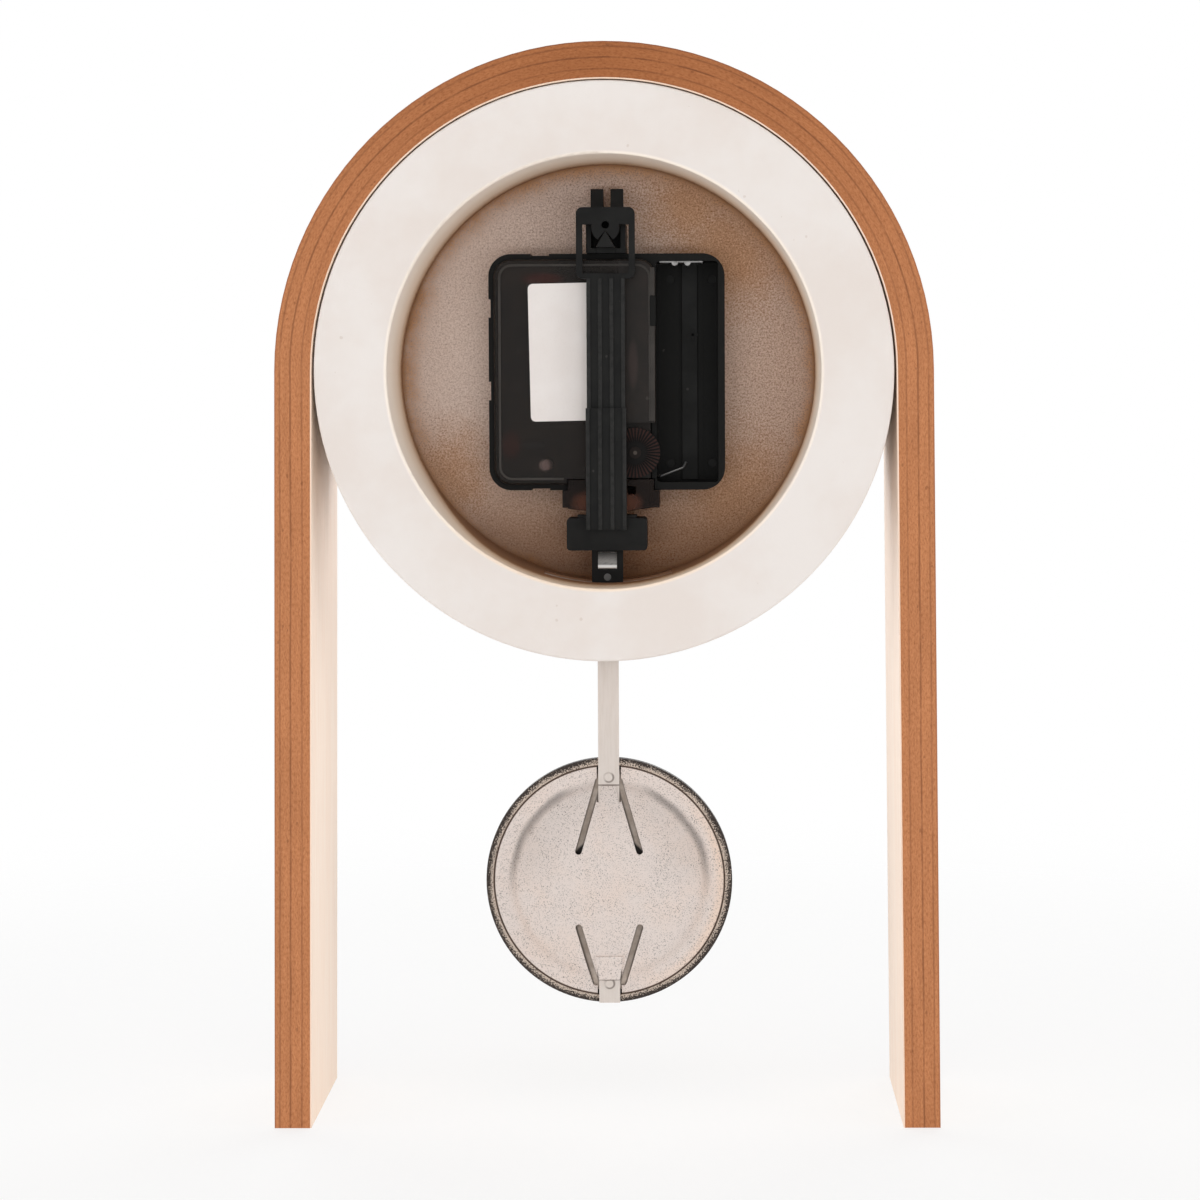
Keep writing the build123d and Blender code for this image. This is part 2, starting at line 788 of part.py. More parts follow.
def setting_knob():
    high = minute_low + motion_wheel_thickness
    top = knob_low + knob_height
    knob = disc(knob_place, knob_radius, knob_low, top)
    length = knob_radius + cut_past - knob_hub_radius
    flute = Pos(knob_hub_radius + length / 2, 0) * Rectangle(length, knob_flute_width)
    flutes = Sketch() + [Rot(0, 0, 360 * place / knob_flutes) * flute for place in range(knob_flutes)]
    knob -= slab(Pos(*knob_place) * flutes, top - knob_flute_depth, top)
    knob += disc(knob_place, knob_arbor_radius, minute_low, knob_low)
    knob += gear(knob_place, knob_gear_teeth, motion_module, knob_turn, minute_low, high)
    return knob + disc(knob_place, knob_pivot_radius, cavity_floor - arbor_end, minute_low)


def centre_wheel():
    high = centre_low + train_wheel_thickness
    wheel = gear(shaft_place, centre_wheel_teeth, centre_module, centre_turn, centre_low, high)
    return wheel - gear_bore(shaft_place, centre_pin_radius, centre_low, high)


def train_arbor(place, low):
    return disc(place, arbor_radius, low, bridge_low + arbor_end)


def train_pinion(place, teeth, module, turn, low):
    high = low + train_wheel_thickness + pinion_overhang
    return gear(place, teeth, module, turn, low - pinion_overhang, high)


def third_wheel():
    wheel = train_arbor(third_place, cavity_floor - arbor_end)
    wheel += train_pinion(third_place, third_pinion_teeth, centre_module, 0, centre_low)
    return wheel + gear(third_place, third_wheel_teeth, third_module, third_turn,
                        third_low, third_low + train_wheel_thickness)


def fourth_wheel():
    wheel = train_arbor(shaft_place, third_low - train_gap / 2 - arbor_end)
    wheel += train_pinion(shaft_place, fourth_pinion_teeth, third_module, 0, third_low)
    return wheel + gear(shaft_place, fourth_wheel_teeth, fourth_module, fourth_turn,
                        fourth_low, fourth_low + train_wheel_thickness)


def fifth_wheel():
    wheel = train_arbor(fifth_place, cavity_floor - arbor_end)
    wheel += train_pinion(fifth_place, fifth_pinion_teeth, fourth_module, 0, fourth_low)
    return wheel + gear(fifth_place, fifth_wheel_teeth, fourth_module, fifth_turn,
                        fifth_low, fifth_low + train_wheel_thickness)


def motor_rotor():
    low = cavity_floor + rotor_lift
    rotor = train_arbor(rotor_place, cavity_floor - arbor_end)
    rotor += train_pinion(rotor_place, rotor_pinion_teeth, fourth_module, 0, fifth_low)
    return rotor + disc(rotor_place, rotor_radius, low, low + rotor_height)


def train_bridge():
    places = [shaft_place, third_place, fifth_place, rotor_place]
    across = [place[0] for place in post_places]
    up = [place[1] for place in places + list(post_places)]
    left = min(across) - post_radius
    right = max(across) + bridge_margin
    bottom = min(up) - bridge_margin
    top = max(up) + bridge_margin
    middle = Pos((left + right) / 2, (bottom + top) / 2)
    outline = RectangleRounded(right - left, top - bottom, post_radius)
    plate = slab(middle * outline, bridge_low, bridge_high)
    for place in places:
        plate -= gear_bore(place, arbor_radius, bridge_low, bridge_high)
    for place in post_places:
        plate -= gear_bore(place, screw_radius, bridge_low, bridge_high)
    return plate


def bridge_screws():
    screws = []
    for place in post_places:
        shank = disc(place, screw_radius, bridge_low - screw_depth + arbor_play, bridge_high)
        screws.append(shank + disc(place, screw_head_radius, bridge_high, bridge_high + screw_head_height))
    return Part() + screws


def motor_stator():
    bottom = rotor_place[1] - stator_half_height
    top = rotor_place[1] + stator_half_height
    row_top = coil_row + core_width / 2
    high = stator_low + stator_thickness
    plate = block(stator_left_edge, stator_right_edge, bottom, top, stator_low, high)
    for left in (stator_left_edge, stator_right_edge - stator_leg):
        plate += block(left, left + stator_leg, top, row_top, stator_low, high)
    return plate - disc(rotor_place, rotor_radius + stator_gap, stator_low, high)


def motor_core():
    half = core_width / 2
    return block(stator_left_edge, stator_right_edge, coil_row - half, coil_row + half,
                 core_low, core_low + core_thickness)


def coil_tube(outer, left, right):
    # A round length along X on the motor coil's own axis
    end = Plane(origin=(left, floor_y + coil_axis, shaft_z + coil_row), z_dir=(1, 0, 0))
    return extrude(end * Circle(outer), amount=right - left)


def motor_bobbin():
    bobbin = coil_tube(bobbin_tube_radius, coil_left, coil_right)
    low = coil_axis - bobbin_half
    high = coil_axis + bobbin_half
    for left in (coil_left, coil_right - bobbin_flange):
        bobbin += block(left, left + bobbin_flange, coil_row - bobbin_half, coil_row + bobbin_half,
                        low, high)
    half = core_width / 2 + running_clearance
    return bobbin - block(coil_left, coil_right, coil_row - half, coil_row + half,
                          core_low - running_clearance, core_low + core_thickness + running_clearance)


def motor_winding():
    left = coil_left + bobbin_flange
    right = coil_right - bobbin_flange
    bore = coil_tube(bobbin_tube_radius + running_clearance, left, right)
    return coil_tube(winding_radius, left, right) - bore


def circuit_board():
    board = block(circuit_left, circuit_right, circuit_bottom, circuit_top, circuit_low, circuit_high)
    return board - gear_bore(circuit_pin_place, circuit_pin_radius, circuit_low, circuit_high)


def circuit_pin():
    return disc(circuit_pin_place, circuit_pin_radius, cavity_floor, cover_top - cover_wall)


def quartz_crystal():
    axis = floor_y + circuit_high + crystal_radius
    left = circuit_middle - crystal_length / 2
    end = Plane(origin=(left, axis, shaft_z + circuit_bottom + crystal_rise), z_dir=(1, 0, 0))
    return extrude(end * Circle(crystal_radius), amount=crystal_length)


def control_chip():
    middle = circuit_top - chip_drop
    half = chip_side / 2
    return block(circuit_middle - half, circuit_middle + half, middle - half, middle + half,
                 circuit_high, circuit_high + chip_height)


def drive_coil_housing():
    # Cup under the case whose bottom follows the pendulum's swing
    half = housing_width / 2
    neck = housing_neck_width / 2
    left = housing_offset - half
    right = housing_offset + half
    end = -case_half - housing_drop + housing_end_rise
    cup = block(left, right, end, -case_half, housing_low, housing_high)
    sole = Pos(0, pivot_height) * Circle(housing_radius)
    inner = housing_offset
    span = Pos(inner, (end + housing_bottom) / 2) * Rectangle(2 * neck, end - housing_bottom)
    cup += slab(span & sole, housing_low, housing_high)
    cup += block(inner - neck, inner + neck, -case_half, housing_top, housing_low, housing_high)
    hollow = block(inner - neck + housing_wall, inner + neck - housing_wall, end + housing_wall,
                   housing_top, housing_low + housing_wall, housing_high - housing_wall)
    cup -= hollow
    spots = Pos(inner, -case_half) * GridLocations(2 * housing_hole_spread, 0, 2, 1)
    holes = spots * Rectangle(housing_hole_size, housing_hole_size)
    return cup - slab(Sketch() + holes, housing_high - housing_wall, housing_high)


def upright_tube(radius, bottom, top):
    # A round length along Z in the middle of the drive coil housing
    depth = floor_y + (housing_low + housing_high) / 2
    base = Plane(origin=(0, depth, shaft_z + bottom), z_dir=(0, 0, 1))
    return extrude(base * Circle(radius), amount=top - bottom)


drive_bottom = -case_half - housing_drop + housing_end_rise + housing_wall + drive_coil_gap
drive_top = housing_top


def drive_coil_bobbin():
    bobbin = upright_tube(drive_core_radius, drive_bottom, drive_top)
    bobbin += upright_tube(drive_flange_radius, drive_bottom, drive_bottom + drive_flange_thickness)
    return bobbin + upright_tube(drive_flange_radius, drive_top - drive_flange_thickness, drive_top)


def drive_winding():
    bottom = drive_bottom + drive_flange_thickness
    top = drive_top - drive_flange_thickness
    return upright_tube(drive_winding_radius, bottom, top) - upright_tube(
        drive_core_radius + running_clearance, bottom, top)


def hanger_bracket():
    # Block on top of the case with two prongs above it and the knife edge standing out behind
    high = case_front + bracket_depth
    bracket = block(-bracket_half_width, bracket_half_width, case_half, bracket_top, case_front, high)
    knife_bottom = pivot_height - knife_drop
    bracket -= block(-bracket_pocket_half_width, bracket_pocket_half_width, knife_bottom, bracket_top,
                     high - bracket_pocket_depth, high)
    for side in (-1, 1):
        left, right = sorted((side * prong_inner, side * (prong_inner + prong_width)))
        low = case_front + prong_lift
        bracket += block(left, right, bracket_top, prong_top, low, low + prong_thickness)
    half = knife_drop * tan(radians(knife_half_angle))
    knife = Polygon((0, pivot_height), (-half, knife_bottom), (half, knife_bottom), align=None)
    bracket += slab(knife, knife_start, arm_high + rib_height)
    return bracket + block(-half, half, case_half, knife_bottom, knife_start, arm_low - arm_gap / 2)


def ribs(width, bottom, top, low):
    # Lengthwise ribs spread evenly over an arm
    pitch = (width - rib_width) / (rib_count - 1)
    lefts = [-width / 2 + pitch * place for place in range(rib_count)]
    return [block(left, left + rib_width, bottom, top, low, low + rib_height) for left in lefts]


def pendulum_hanger():
    # Frame with a notched shield that rocks on the knife edge, and the upper arm below it
    height = hanger_top - hanger_bottom
    middle = (hanger_top + hanger_bottom) / 2
    frame = Pos(0, middle) * RectangleRounded(hanger_width, height, hanger_corner)
    window_top = hanger_top - hanger_top_bar
    window_bottom = hanger_bottom + hanger_bottom_bar
    window = Rectangle(hanger_width - 2 * hanger_side_bar, window_top - window_bottom)
    frame -= Pos(0, (window_top + window_bottom) / 2) * window
    frame += Pos(0, pivot_height + shield_rise) * Circle(shield_radius)
    notch_top = pivot_height + notch_gap
    spread = tan(radians(knife_half_angle + swing_angle + notch_relief)) * 2 * knife_drop
    below = notch_top - 2 * knife_drop
    notch = Polygon((0, notch_top), (-spread, below), (spread, below), align=None)
    frame -= notch & Pos(0, pivot_height + shield_rise) * Circle(shield_radius)
    frame -= Pos(0, pivot_height + shield_hole_rise) * Circle(shield_hole_radius)
    hanger = slab(frame, arm_low, arm_high)
    half = arm_width / 2
    hanger += block(-half, half, sleeve_top, hanger_bottom + hanger_bottom_bar / 2, arm_low, arm_high)
    hanger += ribs(arm_width, sleeve_top, hanger_bottom, arm_high)
    half = arm_tail_width / 2
    return hanger + block(-half, half, sleeve_top - arm_tail_length, sleeve_top, arm_low, arm_high)


def pendulum_lower_bar():
    # Sleeve on the arm's tail, with the crosspiece for the magnet and the tongue for the rod
    half = sleeve_width / 2
    pocket = arm_tail_width / 2 + sleeve_clearance
    bar = block(-half, half, sleeve_bottom, sleeve_top, sleeve_low, sleeve_high)
    bar += ribs(sleeve_width, sleeve_bottom, sleeve_top, sleeve_high)
    bar -= block(-pocket, pocket, sleeve_top - arm_tail_length - sleeve_clearance, sleeve_top,
                 arm_low - sleeve_clearance, arm_high + sleeve_clearance)
    middle = Pos(0, (crosspiece_top + crosspiece_bottom) / 2)
    outline = RectangleRounded(crosspiece_width, crosspiece_top - crosspiece_bottom, crosspiece_corner)
    bar += slab(middle * outline, crosspiece_low, crosspiece_low + crosspiece_depth)
    bar -= drive_magnet_block(magnet_clearance)
    half = tongue_width / 2
    bar += block(-half, half, tongue_end, crosspiece_bottom + crosspiece_corner, rod_high, tongue_high)
    bar -= block(-hook_width / 2, hook_width / 2, hook_bottom, hook_top, rod_high, tongue_high)
    return bar - disc((0, rivet_place), rivet_radius + press_clearance, rod_high, tongue_high)


def drive_magnet_block(clearance):
    half = magnet_width / 2 + clearance
    top = crosspiece_top + magnet_rise
    low = crosspiece_low + (crosspiece_depth - magnet_depth) / 2 - clearance
    high = low + magnet_depth + 2 * clearance
    return block(-half, half, top - magnet_height - clearance, top, low, high)


def drive_magnet():
    return drive_magnet_block(0)


def pendulum_rod():
    # Flat strip from the tongue's window down to the bob's lower edge
    half = rod_width / 2
    bottom = bob_centre - bob_radius
    strip = block(-half, half, bottom, hook_top, rod_low, rod_high)
    inset = hook_clearance
    strip += block(-hook_width / 2 + inset, hook_width / 2 - inset, hook_bottom + inset, hook_top - inset,
                   rod_high, rod_high + hook_depth)
    for place in (bob_centre + bob_radius - rod_dimple_inset, bottom + rod_dimple_inset):
        strip += disc((0, place), rod_dimple_radius, rod_high, rod_high + rod_dimple_height)
    return strip - disc((0, rivet_place), rivet_radius + press_clearance, rod_low, rod_high)


def rod_rivet():
    rivet = disc((0, rivet_place), rivet_radius, rod_low, tongue_high)
    rivet += disc((0, rivet_place), rivet_head_radius, rod_low - rivet_head_height, rod_low)
    return rivet + disc((0, rivet_place), rivet_head_radius, tongue_high, tongue_high + rivet_head_height)


def bob_front_shell():
    # Domed front with a straight rim, folded in behind over the rear plate's edge
    rear = flange_high
    edge = rear - bob_rim_height
    sphere = (bob_radius ** 2 + bob_dome ** 2) / (2 * bob_dome)
    centre = edge - bob_dome + sphere
    inner = bob_radius - bob_sheet
    fold = bob_radius - bob_rim_width

    def dome(size, radius):
        return (radius, centre - sqrt(size ** 2 - radius ** 2))

    thin = sphere - bob_sheet
    edges = ThreePointArc(dome(sphere, 0), dome(sphere, bob_radius / 2), dome(sphere, bob_radius))
    edges += Line((bob_radius, edge), (bob_radius, rear))
    edges += Line((bob_radius, rear), (fold, rear))
    edges += Line((fold, rear), (fold, rear - bob_sheet))
    edges += Line((fold, rear - bob_sheet), (inner, rear - bob_sheet))
    edges += Line((inner, rear - bob_sheet), dome(thin, inner))
    edges += ThreePointArc(dome(thin, inner), dome(thin, inner / 2), dome(thin, 0))
    edges += Line(dome(thin, 0), dome(sphere, 0))
    return turned(make_face(edges))


def plate_profile():
    # Raised flat middle, rounded shoulder and flat flange, one sheet thick
    middle = ((shoulder_start + shoulder_end) / 2, (plate_high + flange_high) / 2)

    def skin(drop):
        level = Line((0, plate_high - drop), (shoulder_start, plate_high - drop))
        half = (middle[0], middle[1] - drop)
        level += TangentArc((shoulder_start, plate_high - drop), half, tangent=(1, 0))
        level += TangentArc((shoulder_end, flange_high - drop), half, tangent=(-1, 0))
        return level + Line((shoulder_end, flange_high - drop), (plate_radius, flange_high - drop))

    edges = skin(0) + skin(plate_sheet)
    edges += Line((0, plate_high), (0, plate_high - plate_sheet))
    edges += Line((plate_radius, flange_high), (plate_radius, flange_high - plate_sheet))
    return make_face(edges)


def slot_between(start, end):
    # A round-ended slot between two places on the bob's plate
    middle = ((start[0] + end[0]) / 2, bob_centre + (start[1] + end[1]) / 2)
    return SlotCenterPoint(middle, (end[0], bob_centre + end[1]), plate_slot_width)


def plate_tongue(root_half, root, end_half, end):
    # Flat tongue left standing between two slots, over the rod
    points = [(-root_half, bob_centre + root), (root_half, bob_centre + root)]
    points += [(end_half, bob_centre + end), (-end_half, bob_centre + end)]
    return slab(Polygon(*points, align=None), plate_high - plate_sheet, plate_high)


def bob_rear_plate():
    plate = turned(plate_profile())
    deep = flange_high - plate_sheet
    notch = rod_width / 2 + rod_notch_gap
    inner = shoulder_start - plate_slot_width
    plate -= block(-notch, notch, bob_centre + inner, bob_centre + bob_radius, deep, plate_high)
    plate -= block(-notch, notch, bob_centre - bob_radius, bob_centre - inner, deep, plate_high)
    half = plate_slot_width / 2
    top_half = upper_slot_top_spread - half
    plate += plate_tongue(top_half + half, inner - half, top_half, upper_tongue_end)
    low_half = lower_slot_bottom_spread - half
    plate += plate_tongue(low_half + half, half - inner, low_half, -lower_tongue_end)
    slots = Sketch()
    for side in (-1, 1):
        wide = side * slot_spread
        slots += slot_between((side * upper_slot_top_spread, upper_slot_top), (wide, upper_slot_bottom))
        slots += slot_between((side * lower_slot_bottom_spread, -lower_slot_bottom), (wide, -lower_slot_top))
    return plate - slab(slots, deep, plate_high)


def hand(length, width, hub, bore, angle, low):
    # A straight baton with a round hub, pointing clockwise from twelve
    baton = Pos(0, (length - hand_tail) / 2) * Rectangle(width, length + hand_tail)
    outline = Rot(0, 0, -angle) * (baton + Circle(hub) - Circle(bore + press_clearance))
    return slab(outline, low, low + hand_thickness)


def hour_hand():
    return hand(hour_hand_length, hour_hand_width, hour_hub_radius, hour_pipe_radius,
                hour_hand_angle, hour_hand_front)


def minute_hand():
    return hand(minute_hand_length, minute_hand_width, minute_hub_radius, minute_seat_radius,
                minute_hand_angle, minute_hand_front)


def hand_cap_nut():
    cap = disc(shaft_place, cap_radius, minute_hand_front - cap_height, minute_hand_front)
    cap = fillet(cap.edges().group_by(Axis.Y)[0], cap_height / 2)
    return cap - disc(shaft_place, cap_thread_radius + press_clearance,
                      minute_hand_front - cap_bore_depth - press_clearance, minute_hand_front)


nodes = [
    arch_core, arch_outer_veneer, arch_inner_veneer, fixing_dowels, drum_ring, dial_board, dial,
    movement_gasket, fixing_washer, fixing_nut, movement_front_case, movement_rear_cover, rating_label,
    battery_contact_positive, battery_contact_negative, minute_arbor, hour_wheel, minute_wheel,
    setting_knob, centre_wheel, third_wheel, fourth_wheel, fifth_wheel, motor_rotor, train_bridge,
    bridge_screws, motor_stator, motor_core, motor_bobbin, motor_winding, circuit_board, circuit_pin,
    quartz_crystal, control_chip, drive_coil_housing, drive_coil_bobbin, drive_winding, hanger_bracket,
    pendulum_hanger, pendulum_lower_bar, drive_magnet, pendulum_rod, rod_rivet, bob_front_shell,
    bob_rear_plate, hour_hand, minute_hand, hand_cap_nut,
]

os.makedirs("parts", exist_ok=True)
for node in nodes:
    export_step(node(), f"parts/{node.__name__}.step")
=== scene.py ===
import math

import bpy
from mathutils import Matrix, Vector


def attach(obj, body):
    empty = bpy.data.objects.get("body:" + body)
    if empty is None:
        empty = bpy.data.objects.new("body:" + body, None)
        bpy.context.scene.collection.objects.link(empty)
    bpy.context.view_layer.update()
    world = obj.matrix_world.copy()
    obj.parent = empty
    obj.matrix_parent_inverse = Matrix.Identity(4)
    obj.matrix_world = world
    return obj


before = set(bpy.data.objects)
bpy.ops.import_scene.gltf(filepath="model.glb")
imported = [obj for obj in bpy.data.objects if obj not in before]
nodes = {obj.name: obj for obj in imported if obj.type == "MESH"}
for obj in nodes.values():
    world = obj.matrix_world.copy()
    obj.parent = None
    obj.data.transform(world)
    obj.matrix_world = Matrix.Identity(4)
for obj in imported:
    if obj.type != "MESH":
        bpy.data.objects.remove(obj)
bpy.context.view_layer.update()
scene = bpy.context.scene
mm = 0.001

# places shared by several pieces, in mm
clock = {"archCentre": 174.5, "archInner": 67.0, "archThick": 8.5, "splay": 0.5, "shaft": 174.7,
         "recessRadius": 49.8, "rearFace": 25.0, "recessFloor": -13.0, "bobCentre": 53.3, "legOffset": 211.0}

# camera: behind the clock, level with its drum and a little to one side
shot = {"spot": (-20.7, 705.9, 173.3), "lens": 89.23, "tilt": -2.424, "roll": 0.23, "turn": 0.742,
        "shift": (-0.0463, -0.0803), "sensor": 36.0}
cameraData = bpy.data.cameras.new("rearCamera")
cameraData.lens = shot["lens"]
cameraData.sensor_width = shot["sensor"]
cameraData.shift_x, cameraData.shift_y = shot["shift"]
camera = bpy.data.objects.new("rearCamera", cameraData)
camera.location = Vector(shot["spot"]) * mm
angles = (90 + shot["tilt"], shot["roll"], 180 + shot["turn"])
camera.rotation_euler = [math.radians(angle) for angle in angles]
scene.collection.objects.link(camera)
scene.camera = camera
scene.view_settings.view_transform = "Standard"
print("camera set")


def tone(red, green, blue):  # a colour as a picture shows it, 0 to 255
    linear = []
    for part in (red / 255, green / 255, blue / 255):
        linear.append(part / 12.92 if part <= 0.04045 else ((part + 0.055) / 1.055) ** 2.4)
    return linear + [1.0]


def add(tree, kind, feeds=None, **settings):
    node = tree.nodes.new("ShaderNode" + kind)
    for label, value in settings.items():
        setattr(node, label, value)
    for label, value in (feeds or {}).items():
        if isinstance(value, bpy.types.NodeSocket):
            tree.links.new(value, node.inputs[label])
        else:
            node.inputs[label].default_value = value
    return node


def calc(tree, operation, first, second=0.0):
    return add(tree, "Math", {0: first, 1: second}, operation=operation).outputs[0]


def plus(tree, first, second):
    return calc(tree, "ADD", first, second)


def minus(tree, first, second):
    return calc(tree, "SUBTRACT", first, second)


def times(tree, first, second):
    return calc(tree, "MULTIPLY", first, second)


def larger(tree, first, second):
    return calc(tree, "MAXIMUM", first, second)


def apart(tree, first, second):
    return calc(tree, "ABSOLUTE", minus(tree, first, second))


def squares(tree, first, second):
    return plus(tree, times(tree, first, first), times(tree, second, second))


def spread(tree, value, width):  # turns 0 to 1 into that width about zero
    return times(tree, minus(tree, value, 0.5), width)


def axes(tree, point):
    return add(tree, "SeparateXYZ", {0: point}).outputs


def ease(tree, value, start, end, low=0.0, high=1.0):  # smooth step from start to end
    feeds = {"Value": value, "From Min": start, "From Max": end, "To Min": low, "To Max": high}
    return add(tree, "MapRange", feeds, interpolation_type="SMOOTHSTEP").outputs[0]


def blend(tree, share, first, second, way="MIX"):
    return add(tree, "Mix", {0: share, 6: first, 7: second}, data_type="RGBA", blend_type=way).outputs[2]


def fade(tree, value, span, first, second):  # one colour into another as the value crosses the span
    return blend(tree, ease(tree, value, *span), first, second)


def ramp(tree, value, stops):
    node = add(tree, "ValToRGB", {"Fac": value})
    band = node.color_ramp
    while len(band.elements) < len(stops):
        band.elements.new(0.5)
    for element, (spot, colour) in zip(band.elements, stops):
        element.position = spot
        element.color = colour
    return node.outputs["Color"]


def noise(tree, point, scale, detail=3.0, roughness=0.55):
    feeds = {"Vector": point, "Scale": scale, "Detail": detail, "Roughness": roughness}
    return add(tree, "TexNoise", feeds).outputs["Fac"]


def stretch(tree, point, across, along, deep):
    return add(tree, "VectorMath", {0: point, 1: (across, along, deep)}, operation="MULTIPLY").outputs[0]


def mmPoint(tree):
    place = add(tree, "TexCoord").outputs["Object"]
    return add(tree, "VectorMath", {0: place, "Scale": 1 / mm}, operation="SCALE").outputs[0]


def aroundPoint(tree, point, height):  # places about an axis along y at that height
    parts = axes(tree, point)
    up = minus(tree, parts["Z"], height)
    radius = calc(tree, "SQRT", squares(tree, parts["X"], up))
    return {"across": parts["X"], "up": up, "depth": parts["Y"], "radius": radius}


def newFinish(name):
    finish = bpy.data.materials.new(name)
    finish.use_nodes = True
    tree = finish.node_tree
    tree.nodes.clear()
    return finish, tree, mmPoint(tree)


def closeFinish(finish, colour, rough, height, depth, level=0.5, metallic=0.0, alpha=1.0):
    tree = finish.node_tree
    normal = add(tree, "Bump", {"Height": height, "Distance": depth * mm, "Strength": 1.0}).outputs[0]
    feeds = {"Base Color": colour, "Roughness": rough, "Normal": normal, "Specular IOR Level": level,
             "Metallic": metallic, "Alpha": alpha}
    shader = add(tree, "BsdfPrincipled", feeds)
    add(tree, "OutputMaterial", {"Surface": shader.outputs[0]})
    return finish


def newGroup(name, takes, gives):
    group = bpy.data.node_groups.new(name, "ShaderNodeTree")
    for label, kind in takes:
        group.interface.new_socket(label, in_out="INPUT", socket_type="NodeSocket" + kind)
    for label, kind in gives:
        group.interface.new_socket(label, in_out="OUTPUT", socket_type="NodeSocket" + kind)
    return group, group.nodes.new("NodeGroupInput").outputs, group.nodes.new("NodeGroupOutput").inputs


def feedGroup(tree, group, feeds):
    return add(tree, "Group", feeds, node_tree=group).outputs


def makeArchFlow():  # depth through the bent wood, length along it, and place across the depth of the clock
    group, takes, gives = newGroup("archFlow", [("Point", "Vector")],
                                   [("Flow", "Vector"), ("Depth", "Float"), ("Bend", "Float")])
    parts = axes(group, takes["Point"])
    height = minus(group, parts["Z"], clock["archCentre"])
    up = larger(group, height, 0.0)
    low = calc(group, "MINIMUM", height, 0.0)
    aside = calc(group, "ABSOLUTE", parts["X"])
    square = squares(group, aside, up)
    lean = times(group, low, math.sin(math.radians(clock["splay"])))
    depth = plus(group, calc(group, "SQRT", square), lean)
    middle = clock["archInner"] + clock["archThick"] / 2
    angle = calc(group, "ARCTAN2", aside, up)
    along = minus(group, times(group, angle, middle), low)
    leg = times(group, calc(group, "SIGN", parts["X"]), clock["legOffset"])
    across = plus(group, parts["Y"], leg)  # the offset keeps the two legs from matching
    flow = add(group, "CombineXYZ", {0: depth, 1: along, 2: across}).outputs[0]
    group.links.new(flow, gives["Flow"])
    group.links.new(depth, gives["Depth"])
    group.links.new(calc(group, "DIVIDE", angle, math.pi / 2), gives["Bend"])  # 0 at the crown, 1 on the legs
    return group


def makeFibres():  # long thin streaks, with the number of them per mm across and along
    group, takes, gives = newGroup("fibres", [("Flow", "Vector"), ("Across", "Float"), ("Along", "Float")],
                                   [("Streak", "Float")])
    size = add(group, "CombineXYZ", {0: takes["Across"], 1: takes["Along"], 2: takes["Across"]}).outputs[0]
    point = add(group, "VectorMath", {0: takes["Flow"], 1: size}, operation="MULTIPLY").outputs[0]
    group.links.new(noise(group, point, 1.0, 5.0, 0.62), gives["Streak"])
    return group


def makeSpecks():  # scattered dots; Size is the mm between places, Amount the share of places with a dot
    look = {"ragged": 0.35, "radius": (0.12, 0.22), "rim": (1.0, 0.6)}
    group, takes, gives = newGroup("specks", [("Point", "Vector"), ("Size", "Float"), ("Amount", "Float")],
                                   [("Mask", "Float")])
    scale = calc(group, "DIVIDE", 1.0, takes["Size"])
    ragged = add(group, "TexNoise", {"Vector": takes["Point"], "Scale": 2.0, "Detail": 2.0}).outputs["Color"]
    moved = add(group, "VectorMath", {0: ragged, 1: (look["ragged"],) * 3, 2: takes["Point"]},
                operation="MULTIPLY_ADD").outputs[0]
    cells = add(group, "TexVoronoi", {"Vector": moved, "Scale": scale})
    chance = add(group, "SeparateColor", {0: cells.outputs["Color"]}).outputs
    least, more = look["radius"]
    radius = plus(group, times(group, chance[1], more), least)
    ratio = calc(group, "DIVIDE", cells.outputs["Distance"], radius)
    dot = ease(group, ratio, *look["rim"])
    there = calc(group, "LESS_THAN", chance[0], takes["Amount"])
    group.links.new(times(group, dot, there), gives["Mask"])
    return group


def makeSkin():  # spark-eroded mould texture, and the cloudy shine that handling leaves
    group, takes, gives = newGroup("mouldedSkin", [("Point", "Vector"), ("Grain", "Float")],
                                   [("Height", "Float"), ("Cloud", "Float")])
    fine = add(group, "TexNoise", {"Vector": takes["Point"], "Scale": takes["Grain"], "Detail": 3.0})
    cloud = noise(group, takes["Point"], 0.13, 4.0, 0.6)
    group.links.new(fine.outputs["Fac"], gives["Height"])
    group.links.new(cloud, gives["Cloud"])
    return group


archFlow = makeArchFlow()
fibres = makeFibres()
specks = makeSpecks()
mouldedSkin = makeSkin()
print("shared surface effects built")


def streaks(tree, flow, across, along):
    return feedGroup(tree, fibres, {"Flow": flow, "Across": across, "Along": along})["Streak"]


def scatter(tree, point, size, amount):
    return feedGroup(tree, specks, {"Point": point, "Size": size, "Amount": amount})["Mask"]


def bentShade(tree, bend):  # the bent wood is darker towards the crown
    look = {"crown": (0.7, 0.61, 0.49, 1), "legs": (1, 1, 1, 1)}
    return ramp(tree, bend, [(0.0, look["crown"]), (1.0, look["legs"])])


